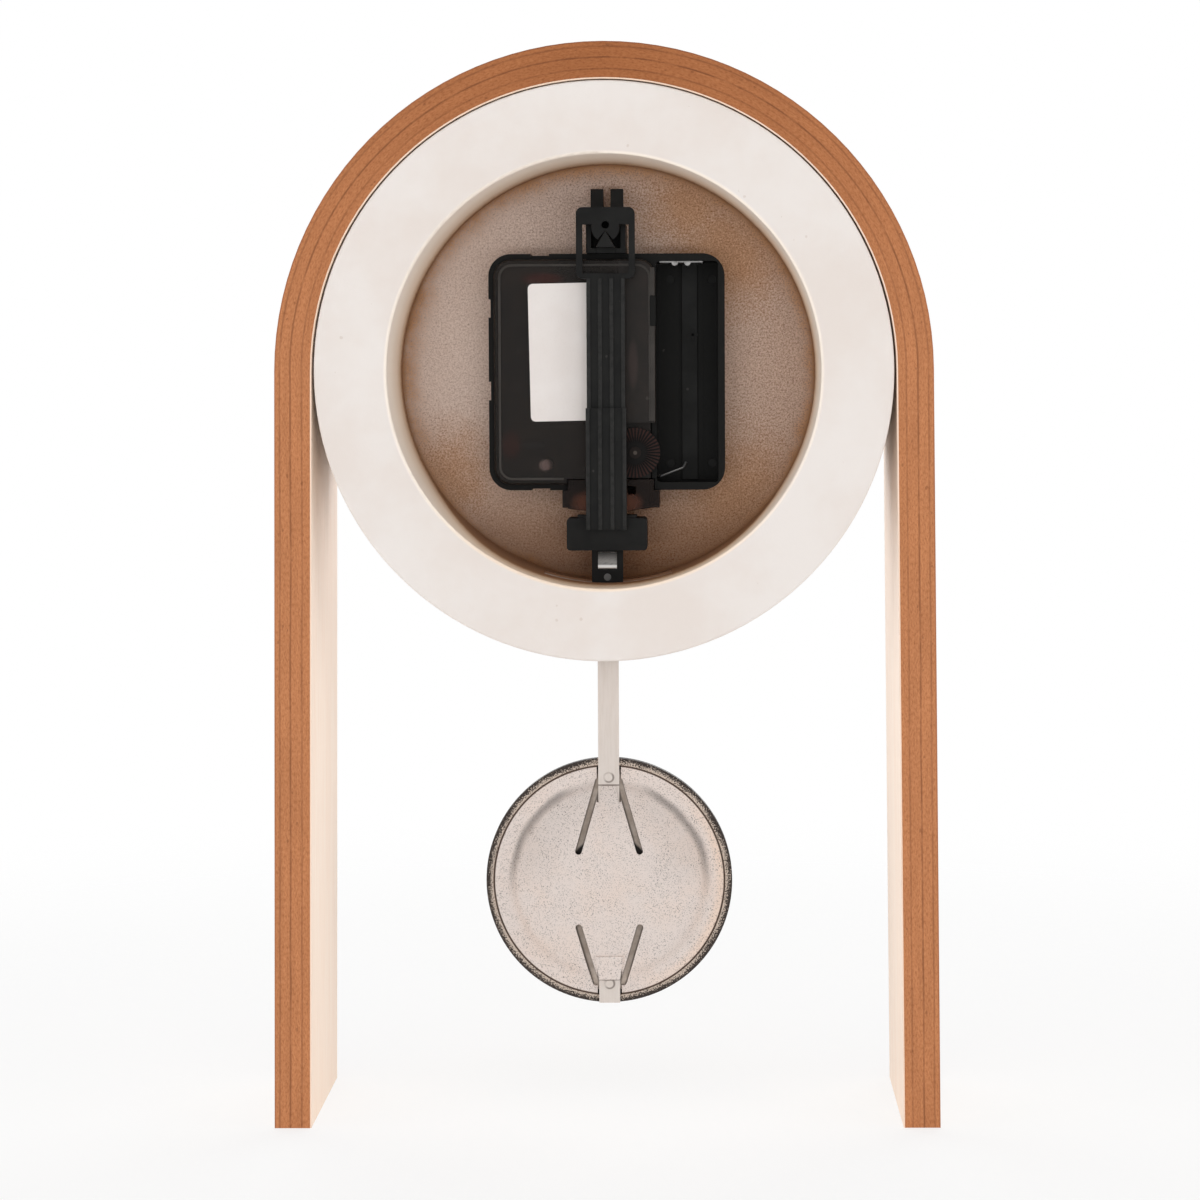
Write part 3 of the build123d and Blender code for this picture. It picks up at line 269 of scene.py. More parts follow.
def laminatedEdge():  # cut edge of the bent plies
    look = {"pale": tone(204, 141, 96), "brown": tone(190, 124, 81), "dark": tone(160, 99, 61),
            "glue": tone(132, 80, 50), "glueWidth": (0.34, 0.02), "wander": 0.6,
            "gaps": (0.3, 0.6, 0.35, 1.0), "plies": ((0.257, 0.55), (0.568, 0.85), (0.855, 0.6)),
            "dimmer": (0.88, 0.86, 0.84, 1), "brighter": (1.05, 1.05, 1.05, 1)}
    finish, tree, point = newFinish("laminatedEdge")
    wood = feedGroup(tree, archFlow, {"Point": point})
    fine = streaks(tree, wood["Flow"], 3.0, 1.1)
    broad = streaks(tree, wood["Flow"], 0.8, 0.05)
    colour = ramp(tree, fine, [(0.28, look["dark"]), (0.48, look["brown"]), (0.74, look["pale"])])
    shade = ramp(tree, broad, [(0.3, look["dimmer"]), (0.7, look["brighter"])])
    colour = blend(tree, 1.0, colour, shade, "MULTIPLY")
    wander = noise(tree, stretch(tree, wood["Flow"], 0, 0.03, 0.02), 1.0)
    depth = plus(tree, wood["Depth"], spread(tree, wander, look["wander"]))
    lines = 0.0
    for share, strength in look["plies"]:
        spot = clock["archInner"] + clock["archThick"] * share
        near = apart(tree, depth, spot)
        lines = larger(tree, lines, ease(tree, near, *look["glueWidth"], 0.0, strength))
    breaks = noise(tree, stretch(tree, wood["Flow"], 0.5, 0.16, 0.3), 1.0, 4.0, 0.7)
    broken = ease(tree, breaks, *look["gaps"])
    colour = blend(tree, times(tree, lines, broken), colour, look["glue"])
    pores = scatter(tree, stretch(tree, wood["Flow"], 1.0, 0.6, 1.0), 1.1, 0.08)
    colour = blend(tree, times(tree, pores, 0.5), colour, look["glue"])
    colour = blend(tree, 1.0, colour, bentShade(tree, wood["Bend"]), "MULTIPLY")
    height = minus(tree, fine, times(tree, pores, 0.8))
    return closeFinish(finish, colour, 0.62, height, 0.05, level=0.25)


def maplePly(name, paleEdge):  # broad face of the veneer; its own edge is pale inside and brown outside
    look = {"light": tone(254, 236, 219), "mid": tone(252, 228, 207), "streak": tone(238, 203, 175),
            "innerEdge": (tone(248, 220, 199), tone(238, 203, 175)),
            "outerEdge": (tone(176, 112, 72), tone(150, 92, 57))}
    finish, tree, point = newFinish(name)
    wood = feedGroup(tree, archFlow, {"Point": point})
    broad = streaks(tree, wood["Flow"], 0.16, 0.012)
    fine = streaks(tree, wood["Flow"], 1.9, 0.05)
    colour = ramp(tree, broad, [(0.35, look["mid"]), (0.65, look["light"])])
    grain = ease(tree, fine, 0.52, 0.68, 0.0, 0.5)
    colour = blend(tree, grain, colour, look["streak"])
    facing = axes(tree, add(tree, "TexCoord").outputs["Normal"])["Y"]
    edge = ease(tree, calc(tree, "ABSOLUTE", facing), 0.6, 0.8)
    tones = look["innerEdge" if paleEdge else "outerEdge"]
    trim = blend(tree, ease(tree, fine, 0.35, 0.65, 0.0, 0.45), *tones)
    if not paleEdge:
        trim = blend(tree, 1.0, trim, bentShade(tree, wood["Bend"]), "MULTIPLY")
    colour = blend(tree, edge, colour, trim)
    gloss = ease(tree, broad, 0.3, 0.7, 0.42, 0.52)
    return closeFinish(finish, colour, gloss, fine, 0.02, level=0.35)


def drumPaint():  # matt white paint, thin and raw on the recess wall, whose colour also carries a painted highlight near the rim and painted shade deeper in and towards the bottom
    look = {"white": tone(234, 227, 222), "warm": tone(229, 219, 212), "fleck": tone(196, 178, 164),
            "wall": [(0.0, tone(252, 240, 228)), (0.3, tone(255, 240, 224)), (0.64, tone(254, 232, 210)),
                     (0.84, tone(228, 196, 164)), (0.93, tone(172, 128, 94)), (1.0, tone(146, 104, 74))],
            "fuzz": 0.2, "dust": (-24.0, -46.0, 0.0, 0.56), "rim": (0.9, 0.25)}
    finish, tree, point = newFinish("drumPaint")
    place = aroundPoint(tree, point, clock["shaft"])
    cloud = noise(tree, point, 0.035, 4.0, 0.6)
    colour = fade(tree, cloud, (0.35, 0.65), look["white"], look["warm"])
    flecks = scatter(tree, point, 1.4, 0.02)
    colour = blend(tree, times(tree, flecks, 0.35), colour, look["fleck"])
    span = clock["rearFace"] - clock["recessFloor"]
    fuzz = spread(tree, noise(tree, point, 0.9, 5.0, 0.7), look["fuzz"])
    # wall colour runs from near white at the rim to brown at the floor, and browner lower down: thin raw
    # paint and dust, with a painted highlight near the rim and painted shade deeper in and towards the bottom
    share = calc(tree, "DIVIDE", minus(tree, clock["rearFace"], place["depth"]), span)
    dustAndShade = plus(tree, share, ease(tree, place["up"], *look["dust"]))
    wall = ramp(tree, plus(tree, dustAndShade, fuzz), look["wall"])
    inside = ease(tree, place["radius"], *(clock["recessRadius"] + past for past in look["rim"]))
    colour = blend(tree, inside, colour, wall)
    fine = noise(tree, point, 1.7, 4.0, 0.6)
    return closeFinish(finish, colour, 0.55, fine, 0.03, level=0.3)


def rawBoard():  # raw fibreboard dusted with grey overspray, bare and brown in patches and round its rim, and darker towards the bottom, partly as bare board and partly as painted shade under the lower rim
    look = {"spray": tone(202, 181, 169), "sprayPale": tone(230, 213, 203), "sprayGrit": tone(150, 127, 114),
            "bare": tone(191, 145, 106), "barePale": tone(213, 171, 132), "bareGrit": tone(136, 92, 58),
            "deep": tone(122, 80, 52), "rim": (44.5, 51.0), "edge": (50.2, 52.0, 0.0, 0.7), "edgeGrit": 3.0,
            "feet": (-26.0, -50.0, 0.0, 0.55), "aside": (8.0, -46.0, 0.0, 0.25),
            "below": (-10.0, -42.0, 0.0, 0.6), "pale": (4.0, 38.0, 0.0, 0.1),
            "strayBlotch": 16.0, "strayGrit": 26.0, "rimStray": 0.45,
            "patchShare": 0.8, "patchFade": (1.6, 0.1),
            "patches": ((-29.0, 29.0, 18.0), (-31.0, -33.0, 22.0), (-8.0, -49.0, 19.0), (-20.0, 41.0, 14.0),
                        (40.0, -26.0, 13.0))}
    finish, tree, point = newFinish("rawBoard")
    place = aroundPoint(tree, point, clock["shaft"])
    across, up, radius = place["across"], place["up"], place["radius"]
    grit = noise(tree, point, 2.3, 4.0, 0.75)
    blotch = noise(tree, point, 0.12, 5.0, 0.65)
    dusted = plus(tree, grit, ease(tree, across, *look["pale"]))
    spray = ramp(tree, dusted, [(0.35, look["sprayGrit"]), (0.5, look["spray"]), (0.67, look["sprayPale"])])
    bare = ramp(tree, grit, [(0.33, look["bareGrit"]), (0.52, look["bare"]), (0.7, look["barePale"])])
    stray = plus(tree, spread(tree, blotch, look["strayBlotch"]), spread(tree, grit, look["strayGrit"]))
    reach = plus(tree, radius, times(tree, stray, look["rimStray"]))
    bareShare = ease(tree, reach, *look["rim"])
    for placeX, placeZ, size in look["patches"]:
        square = squares(tree, minus(tree, across, placeX), minus(tree, up, placeZ))
        away = plus(tree, calc(tree, "SQRT", square), stray)
        start, end = (size * share for share in look["patchFade"])
        bareShare = larger(tree, bareShare, ease(tree, away, start, end, 0.0, look["patchShare"]))
    thin = plus(tree, ease(tree, across, *look["aside"]), ease(tree, up, *look["below"]))
    bareShare = larger(tree, bareShare, thin)
    colour = blend(tree, bareShare, spray, bare)
    edge = ease(tree, plus(tree, radius, times(tree, grit, look["edgeGrit"])), *look["edge"])
    colour = blend(tree, edge, colour, look["deep"])
    # darker towards the bottom: bare board and painted shade under the lower rim
    colour = fade(tree, up, look["feet"], colour, look["deep"])
    return closeFinish(finish, colour, 0.85, grit, 0.12, level=0.1)


def skinOf(tree, point, grain, colour, dim, span=(0.35, 0.7)):  # mould texture, and its cloudy colour
    skin = feedGroup(tree, mouldedSkin, {"Point": point, "Grain": grain})
    return skin, fade(tree, skin["Cloud"], span, colour, dim)


lint = {"tone": tone(150, 144, 138), "share": 0.08}


def withLint(tree, colour, point, size, amount):
    fluff = scatter(tree, point, size, amount)
    return blend(tree, times(tree, fluff, lint["share"]), colour, lint["tone"])


def moulded(name, colour, dim, gloss, grain=5.0, depth=0.02, level=0.22, dust=0.03):
    finish, tree, point = newFinish(name)  # moulded plastic, clean but handled
    skin, shade = skinOf(tree, point, grain, colour, dim)
    shade = withLint(tree, shade, point, 1.9, dust)
    rough = ease(tree, skin["Cloud"], 0.3, 0.7, gloss - 0.06, gloss + 0.08)
    return closeFinish(finish, shade, rough, skin["Height"], depth, level=level)


def metal(name, colour, gloss, along, across, depth, dull=0.72):  # drawn or turned, dull where tarnished
    finish, tree, point = newFinish(name)
    lines = noise(tree, stretch(tree, point, across, across, along), 1.0, 4.0, 0.6)
    tarnish = noise(tree, point, 0.25, 4.0, 0.6)
    duller = [part * dull for part in colour[:3]] + [1.0]
    shade = fade(tree, tarnish, (0.45, 0.75), colour, duller)
    rough = ease(tree, lines, 0.3, 0.7, gloss - 0.05, gloss + 0.12)
    return closeFinish(finish, shade, rough, lines, depth, metallic=1.0)


def wound(name, turnsPerMm):  # enamelled copper wire in even turns, with painted shade in the grooves between them
    look = {"copper": tone(198, 112, 66), "gap": tone(96, 44, 24)}
    finish, tree, point = newFinish(name)
    spot = times(tree, axes(tree, point)["X"], turnsPerMm * 2 * math.pi)
    ripple = plus(tree, times(tree, calc(tree, "SINE", spot), 0.5), 0.5)
    shade = blend(tree, ripple, look["gap"], look["copper"])
    cloud = noise(tree, point, 0.8, 3.0)
    shade = fade(tree, cloud, (0.5, 0.8, 0.0, 0.4), shade, look["gap"])
    return closeFinish(finish, shade, 0.35, ripple, 0.05, metallic=0.7)


def paper(name, colour, warm, grain):  # thin card or label stock
    look = {"fibre": tone(190, 182, 176), "fibres": (0.5, 0.8, 0.0, 0.12)}
    finish, tree, point = newFinish(name)
    fibre = noise(tree, stretch(tree, point, grain, grain, grain * 0.5), 1.0, 5.0, 0.7)
    cloud = noise(tree, point, 0.06, 3.0)
    shade = fade(tree, cloud, (0.35, 0.7), colour, warm)
    shade = fade(tree, fibre, look["fibres"], shade, look["fibre"])
    return closeFinish(finish, shade, 0.6, fibre, 0.015, level=0.3)


def rodPaint():  # cream paint, with painted shadow lines at the tongues' ends and painted shade on the lower side of the dimples
    look = {"cream": tone(216, 207, 200), "shade": tone(210, 200, 192), "fleck": tone(132, 118, 108),
            "paintedShade": tone(104, 92, 84), "tongueEnds": (76.25, 29.5), "dimples": (78.1, 28.5),
            "dimpleRadius": 1.1, "endShadow": (0.28, 0.1, 0.0, 0.75), "dimpleShade": (0.34, 0.1),
            "shadedSide": (0.8, -0.8, 0.15, 0.7)}
    finish, tree, point = newFinish("rodPaint")
    streak = noise(tree, stretch(tree, point, 1.4, 1.4, 0.12), 1.0, 4.0, 0.6)
    colour = fade(tree, streak, (0.4, 0.7), look["cream"], look["shade"])
    flecks = scatter(tree, point, 1.5, 0.08)
    colour = blend(tree, times(tree, flecks, 0.4), colour, look["fleck"])
    level = axes(tree, point)["Z"]
    # painted shadow: a dark line where each tongue's end lies over the rod
    for end in look["tongueEnds"]:
        near = apart(tree, level, end)
        colour = fade(tree, near, look["endShadow"], colour, look["paintedShade"])
    # painted shade: a dark crescent round the lower side of each dimple
    for spot in look["dimples"]:
        place = aroundPoint(tree, point, spot)
        near = apart(tree, place["radius"], look["dimpleRadius"])
        below = ease(tree, plus(tree, place["up"], place["across"]), *look["shadedSide"])
        paintedShade = times(tree, ease(tree, near, *look["dimpleShade"]), below)
        colour = blend(tree, paintedShade, colour, look["paintedShade"])
    return closeFinish(finish, colour, 0.42, noise(tree, point, 2.4, 3.0), 0.02, level=0.4, metallic=0.1)


def bobPlateFinish():  # silver-white lacquer, finely speckled, with painted shade inside the upper shoulder, a painted highlight on the lower rim and a painted shadow in the gap at its edge
    look = {"silver": tone(223, 212, 206), "rose": tone(226, 211, 202), "dark": tone(46, 39, 36),
            "shoulderShade": tone(143, 137, 134), "litPeach": tone(238, 210, 188), "gapShade": tone(92, 74, 62),
            "shoulder": 23.6, "edge": (27.2, 27.42), "sway": 2.4, "shoulderShadeOut": (1.1, -0.3),
            "shoulderShadeIn": (-2.6, -0.2), "shoulderShadeShare": 0.85, "upperShade": (-16.0, -1.0, 0.0, 0.2),
            "offCrown": (5.0, 13.0), "litRim": (24.5, 26.9, 0.0, 0.55), "litSide": (-0.9, -0.15),
            "dotShare": 0.8}
    finish, tree, point = newFinish("bobPlateLacquer")
    place = aroundPoint(tree, point, clock["bobCentre"])
    across, up, radius = place["across"], place["up"], place["radius"]
    cloud = noise(tree, point, 0.07, 4.0, 0.6)
    colour = fade(tree, cloud, (0.4, 0.7), look["silver"], look["rose"])
    # painted shade: the upper shoulder greyed where it faces away from the light
    upper = ease(tree, calc(tree, "DIVIDE", up, radius), -0.25, 0.35)
    offCrown = ease(tree, calc(tree, "ABSOLUTE", across), *look["offCrown"])
    sway = spread(tree, noise(tree, point, 0.09, 2.0), look["sway"])
    ring = minus(tree, plus(tree, radius, sway), look["shoulder"])
    outside = ease(tree, ring, *look["shoulderShadeOut"])
    inside = ease(tree, ring, *look["shoulderShadeIn"])
    shoulderShade = times(tree, times(tree, outside, inside), times(tree, upper, offCrown))
    upperShade = times(tree, times(tree, outside, ease(tree, ring, *look["upperShade"])), upper)
    shoulderShade = larger(tree, times(tree, shoulderShade, look["shoulderShadeShare"]), upperShade)
    colour = blend(tree, shoulderShade, colour, look["shoulderShade"])
    # painted highlight: peach light on the part of the rim that faces the light
    asideShare, upShare = look["litSide"]
    lean = plus(tree, times(tree, across, asideShare), times(tree, up, upShare))
    facing = ease(tree, calc(tree, "DIVIDE", lean, radius), 0.3, 0.9)
    litRim = times(tree, facing, ease(tree, radius, *look["litRim"]))
    colour = blend(tree, litRim, colour, look["litPeach"])
    grit = ease(tree, noise(tree, point, 3.7, 2.0, 0.7), 0.56, 0.63, 0.0, 0.7)
    dots = scatter(tree, point, 0.56, 0.17)
    flecks = larger(tree, grit, times(tree, dots, look["dotShare"]))
    patchy = ease(tree, noise(tree, point, 0.18, 3.0), 0.3, 0.65, 0.45, 0.95)
    colour = blend(tree, times(tree, flecks, patchy), colour, look["dark"])
    # painted shadow: a dark line in the gap between the plate and the rim
    colour = fade(tree, radius, look["edge"], colour, look["gapShade"])
    return closeFinish(finish, colour, 0.5, noise(tree, point, 2.2, 4.0, 0.6), 0.03, level=0.3, metallic=0.15)


def bobShellFinish():  # dark front paint that thins to a speckle over the rolled rim
    look = {"paint": tone(50, 45, 42), "paintDim": tone(43, 38, 36), "flake": tone(92, 84, 78),
            "beige": tone(200, 184, 170), "black": tone(50, 42, 38), "gapShade": tone(84, 66, 56),
            "coat": (27.6, 29.4, 0.43, 0.68), "drift": 0.3, "fold": (27.85, 27.65), "rearSide": (-2.6, -1.2)}
    finish, tree, point = newFinish("bobShellPaint")
    place = aroundPoint(tree, point, clock["bobCentre"])
    grit = noise(tree, point, 3.2, 2.0, 0.7)
    drift = noise(tree, point, 0.16, 3.0)
    coat = plus(tree, ease(tree, place["radius"], *look["coat"]), spread(tree, drift, look["drift"]))
    speckle = ease(tree, minus(tree, coat, grit), -0.05, 0.07)
    rim = blend(tree, speckle, look["beige"], look["black"])
    # painted shadow: a dark line at the rim's inner edge, in the gap next to the plate
    rim = fade(tree, place["radius"], look["fold"], rim, look["gapShade"])
    rearSide = ease(tree, place["depth"], *look["rearSide"])
    front = fade(tree, drift, (0.35, 0.65), look["paint"], look["paintDim"])
    flakes = scatter(tree, point, 0.55, 0.16)
    front = blend(tree, times(tree, flakes, 0.4), front, look["flake"])
    colour = blend(tree, rearSide, front, rim)
    rough = ease(tree, drift, 0.3, 0.7, 0.5, 0.6)
    return closeFinish(finish, colour, rough, grit, 0.03, level=0.3)


def hangerPlastic():  # black arm and sleeve, paler along the tops of their ribs, partly rubbed wear and partly painted highlight
    look = {"black": tone(22, 22, 21), "dim": tone(16, 16, 16), "rubbedAndLit": tone(42, 42, 41),
            "armRibs": (7.3, 7.62), "sleeveRibs": (8.5, 8.82), "sleeveFace": 8.3}
    finish, tree, point = newFinish("hangerPlastic")
    depth = axes(tree, point)["Y"]
    skin, colour = skinOf(tree, point, 4.0, look["black"], look["dim"])
    underSleeve = calc(tree, "LESS_THAN", depth, look["sleeveFace"])
    onArm = times(tree, ease(tree, depth, *look["armRibs"]), underSleeve)
    tops = larger(tree, onArm, ease(tree, depth, *look["sleeveRibs"]))
    scuff = ease(tree, noise(tree, point, 0.7, 4.0, 0.7), 0.3, 0.65, 0.3, 0.9)
    # rib tops paler: patchy rubbing together with a painted highlight
    colour = blend(tree, times(tree, tops, scuff), colour, look["rubbedAndLit"])
    colour = withLint(tree, colour, point, 1.6, 0.02)
    rough = ease(tree, skin["Cloud"], 0.3, 0.7, 0.4, 0.54)
    return closeFinish(finish, colour, rough, skin["Height"], 0.02, level=0.17)


def shineThrough(tree, point, colour, look):  # paints soft glowing spots for pale or warm inner parts seen through smoked plastic
    parts = axes(tree, point)
    for (placeX, placeZ), (wide, tall), share, shine in look["spots"]:
        aside = calc(tree, "DIVIDE", minus(tree, parts["X"], placeX), wide)
        above = calc(tree, "DIVIDE", minus(tree, parts["Z"], placeZ), tall)
        away = squares(tree, aside, above)
        colour = blend(tree, ease(tree, away, 1.0, 0.05, 0.0, share), colour, look[shine])
    return colour


def amberPlastic():  # smoked brown plastic, with a painted glow of the coil's copper beside the arm
    look = {"brown": tone(28, 19, 15), "dark": tone(20, 15, 12), "copper": tone(132, 82, 62),
            "spots": (((3.6, 143.7), (5.8, 3.6), 0.42, "copper"),
                      ((-3.8, 143.7), (5.4, 3.6), 0.42, "copper"))}
    finish, tree, point = newFinish("amberPlastic")
    skin, colour = skinOf(tree, point, 3.0, look["brown"], look["dark"])
    colour = shineThrough(tree, point, colour, look)
    return closeFinish(finish, colour, 0.34, skin["Height"], 0.004, level=0.14, alpha=0.86)


def smokedCover():  # smoked cover, nearly opaque over the wheels; a pale pin and some red are painted on as glows, and a rose spot as a painted highlight
    look = {"smoke": tone(36, 33, 31), "dim": tone(44, 39, 36), "pale": tone(132, 112, 108),
            "red": tone(84, 42, 36), "rose": tone(78, 64, 61), "cover": (-1.5, -3.5, 0.72, 0.96),
            "spots": (((14.7, 152.7), (1.7, 1.7), 0.55, "pale"), ((15.0, 196.7), (6.0, 1.8), 0.4, "red"),
                      ((22.6, 157.5), (3.0, 4.2), 0.2, "red"), ((-6.3, 176.5), (1.5, 7.0), 0.35, "rose"))}
    finish, tree, point = newFinish("smokedPlastic")
    skin, colour = skinOf(tree, point, 3.0, look["smoke"], look["dim"])
    colour = shineThrough(tree, point, colour, look)
    colour = withLint(tree, colour, point, 1.9, 0.03)
    across = axes(tree, point)["X"]
    rough = ease(tree, skin["Cloud"], 0.3, 0.7, 0.28, 0.42)
    return closeFinish(finish, colour, rough, skin["Height"], 0.004, level=0.16,
                       alpha=ease(tree, across, *look["cover"]))


def contactWire():  # spring wire, with a painted glint along the upper side that faces the light and painted shade below
    look = {"shade": [0.07, 0.07, 0.07, 1], "paintedGlint": [0.66, 0.65, 0.63, 1]}
    finish, tree, point = newFinish("contactWire")
    lines = noise(tree, point, 3.0, 3.0)
    facing = axes(tree, add(tree, "TexCoord").outputs["Normal"])["Z"]
    colour = fade(tree, facing, (0.1, 0.75), look["shade"], look["paintedGlint"])
    rough = ease(tree, lines, 0.3, 0.7, 0.28, 0.42)
    return closeFinish(finish, colour, rough, lines, 0.004, metallic=1.0)


def hookFinish():  # bent end of the rod, scratched, with painted shade darkening its top and a painted highlight along its lip
    look = {"shade": [0.06, 0.058, 0.056, 1], "bare": [0.26, 0.25, 0.24, 1], "lipHighlight": [0.72, 0.7, 0.68, 1],
            "heights": (131.9, 129.5), "lipHighlightHeights": (129.15, 128.85), "slant": 0.55, "scratch": 9.0}
    finish, tree, point = newFinish("scratchedShadedHookSteel")
    parts = axes(tree, point)
    slant = plus(tree, times(tree, parts["X"], look["slant"]), parts["Z"])
    spot = add(tree, "CombineXYZ", {0: parts["X"], 1: times(tree, slant, look["scratch"])}).outputs[0]
    scratches = noise(tree, spot, 0.7, 4.0, 0.7)
    # painted shade: darker towards the top
    colour = fade(tree, parts["Z"], look["heights"], look["shade"], look["bare"])
    colour = fade(tree, scratches, (0.5, 0.66, 0.0, 0.6), colour, look["shade"])
    # painted highlight: a bright band along the lip
    colour = fade(tree, parts["Z"], look["lipHighlightHeights"], colour, look["lipHighlight"])
    rough = ease(tree, scratches, 0.3, 0.7, 0.3, 0.5)
    return closeFinish(finish, colour, rough, scratches, 0.02, metallic=0.85)


def slotFloor():  # bare sheet inside the bob, with painted shadow along one edge of each slot and painted shade past the inner ends of the upper slots
    look = {"sheet": tone(216, 202, 190), "brown": tone(196, 180, 166), "dark": tone(38, 33, 30),
            "slots": ((9.34, -0.2874), (10.64, 0.2985)), "slotEdgeShadow": (0.35, 0.85, 0.0, 0.65),
            "slotReach": 1.4, "slotEndShade": (10.9, 10.2)}
    finish, tree, point = newFinish("bobInnerSheet")
    place = aroundPoint(tree, point, clock["bobCentre"])
    cloud = noise(tree, point, 0.5, 4.0, 0.6)
    colour = fade(tree, cloud, (0.35, 0.65), look["sheet"], look["brown"])
    aside = calc(tree, "ABSOLUTE", place["across"])
    # painted shadow along one edge of each slot
    for start, lean in look["slots"]:
        middle = plus(tree, times(tree, place["up"], lean), start)
        off = apart(tree, aside, middle)
        near = calc(tree, "LESS_THAN", off, look["slotReach"])
        edge = times(tree, ease(tree, off, *look["slotEdgeShadow"]), near)
        colour = blend(tree, edge, colour, look["dark"])
    # painted shade past the inner ends of the upper slots
    end = times(tree, ease(tree, place["radius"], *look["slotEndShade"]), ease(tree, place["up"], 0.0, 2.0))
    colour = blend(tree, end, colour, look["dark"])
    return closeFinish(finish, colour, 0.5, cloud, 0.03, level=0.3, metallic=0.1)


def knobPlastic():  # brown ridges, with painted shade down in the flutes, and nearly black on the boss
    look = {"ridge": tone(54, 33, 29), "ridgeDim": tone(45, 28, 24), "flute": tone(12, 9, 8),
            "boss": tone(28, 21, 18), "pip": tone(80, 73, 68), "fluteDepth": (3.18, 3.0),
            "bossEdge": (3.2, 2.0), "pipEdge": (0.55, 0.4), "centre": (-6.712, 0.0, 155.601)}
    finish, tree, point = newFinish("knobPlastic")
    skin, colour = skinOf(tree, point, 4.0, look["ridge"], look["ridgeDim"], (0.3, 0.7))
    away = add(tree, "VectorMath", {0: point, 1: look["centre"]}, operation="SUBTRACT").outputs[0]
    place = aroundPoint(tree, away, 0.0)
    colour = fade(tree, place["radius"], look["bossEdge"], colour, look["boss"])
    # painted shade: darker the deeper into the flutes
    colour = fade(tree, place["depth"], look["fluteDepth"], colour, look["flute"])
    colour = fade(tree, place["radius"], look["pipEdge"], colour, look["pip"])
    return closeFinish(finish, colour, 0.45, skin["Height"], 0.01, level=0.15)


finishes = {
    "laminated": laminatedEdge(),
    "innerPly": maplePly("innerMaplePly", True),
    "outerPly": maplePly("outerMaplePly", False),
    "drum": drumPaint(),
    "board": rawBoard(),
    "black": moulded("blackPlastic", tone(17, 17, 16), tone(23, 23, 22), 0.5, level=0.13),
    "smoked": smokedCover(),
    # paler edge plastic, partly a painted highlight
    "paleEdgeAndHighlight": moulded("paleEdgeAndHighlight", tone(62, 58, 55), tone(53, 50, 47), 0.4, 3.0, 0.004, 0.2),
    "amber": amberPlastic(),
    "worn": moulded("wornBlackPlastic", tone(26, 26, 25), tone(21, 21, 20), 0.46, 4.0, 0.015, 0.16),
    "knob": knobPlastic(),
    "hanger": hangerPlastic(),
    "gear": moulded("gearPlastic", tone(196, 186, 172), tone(180, 170, 156), 0.4, 4.0, 0.01, 0.4),
    "bridge": moulded("bridgePlastic", tone(66, 52, 45), tone(56, 45, 40), 0.45, 4.0, 0.01),
    "pin": moulded("pinPlastic", tone(214, 178, 168), tone(204, 168, 158), 0.45, 4.0, 0.01),
    "rubber": moulded("gasketRubber", tone(36, 35, 34), tone(42, 41, 40), 0.75, 3.0, 0.03),
    "laminate": moulded("circuitLaminate", tone(112, 88, 54), tone(98, 76, 46), 0.5, 2.0, 0.01),
    "resin": moulded("chipResin", tone(24, 24, 25), tone(30, 30, 30), 0.5, 6.0, 0.01),
    "hand": moulded("handPaint", tone(26, 26, 27), tone(32, 32, 32), 0.38, 3.0, 0.006, 0.3, 0.02),
    "steel": metal("brightSteel", [0.56, 0.55, 0.53, 1], 0.26, 0.3, 4.0, 0.004),
    "contact": metal("contactSteel", [0.44, 0.43, 0.42, 1], 0.34, 0.3, 4.0, 0.004, 0.2),
    "wire": contactWire(),
    # painted shade for the depth of the pivot hole
    "holeShade": moulded("pivotHoleShade", tone(7, 7, 7), tone(5, 5, 5), 0.7, level=0.03),
    "hookSteel": hookFinish(),
    "brass": metal("turnedBrass", [0.72, 0.52, 0.24, 1], 0.26, 3.0, 3.0, 0.004),
    "magnet": moulded("ferriteMagnet", tone(44, 42, 41), tone(36, 35, 34), 0.6, 5.0, 0.02, 0.2),
    "rivet": metal("darkRivet", [0.14, 0.14, 0.14, 1], 0.4, 3.0, 3.0, 0.004),
    "slotFloor": slotFloor(),
    "driveWire": wound("driveWire", 4.5),
    "motorWire": wound("motorWire", 6.0),
    "label": paper("labelPaper", tone(240, 235, 232), tone(234, 227, 223), 3.0),
    "dial": paper("dialCard", tone(240, 237, 231), tone(236, 232, 225), 2.0),
    "rod": rodPaint(),
    "bobPlate": bobPlateFinish(),
    "bobShell": bobShellFinish(),
}
print("finishes made:", len(finishes))

wears = {
    "laminated": ("arch_core", "fixing_dowels"),
    "innerPly": ("arch_inner_veneer",),
    "outerPly": ("arch_outer_veneer",),
    "drum": ("drum_ring",),
    "board": ("dial_board",),
    "dial": ("dial",),
    "rubber": ("movement_gasket",),
    "brass": ("fixing_washer", "fixing_nut", "minute_arbor", "hand_cap_nut"),
    "black": ("movement_front_case",),
    "worn": ("hanger_bracket",),
    "hanger": ("pendulum_hanger", "pendulum_lower_bar"),
    "smoked": ("movement_rear_cover",),
    "amber": ("drive_coil_housing",),
    "label": ("rating_label",),
    "steel": ("motor_stator", "motor_core", "quartz_crystal"),
    "contact": ("battery_contact_positive",),
    "wire": ("battery_contact_negative",),
    "rivet": ("rod_rivet", "bridge_screws"),
    "gear": ("hour_wheel", "minute_wheel", "centre_wheel", "third_wheel", "fourth_wheel", "fifth_wheel"),
    "knob": ("setting_knob",),
    "bridge": ("train_bridge", "motor_bobbin", "drive_coil_bobbin"),
    "pin": ("circuit_pin",),
    "magnet": ("drive_magnet", "motor_rotor"),
    "driveWire": ("drive_winding",),
    "motorWire": ("motor_winding",),
    "laminate": ("circuit_board",),
    "resin": ("control_chip",),
    "rod": ("pendulum_rod",),
    "bobPlate": ("bob_rear_plate",),
    "bobShell": ("bob_front_shell",),
    "hand": ("hour_hand", "minute_hand"),
}
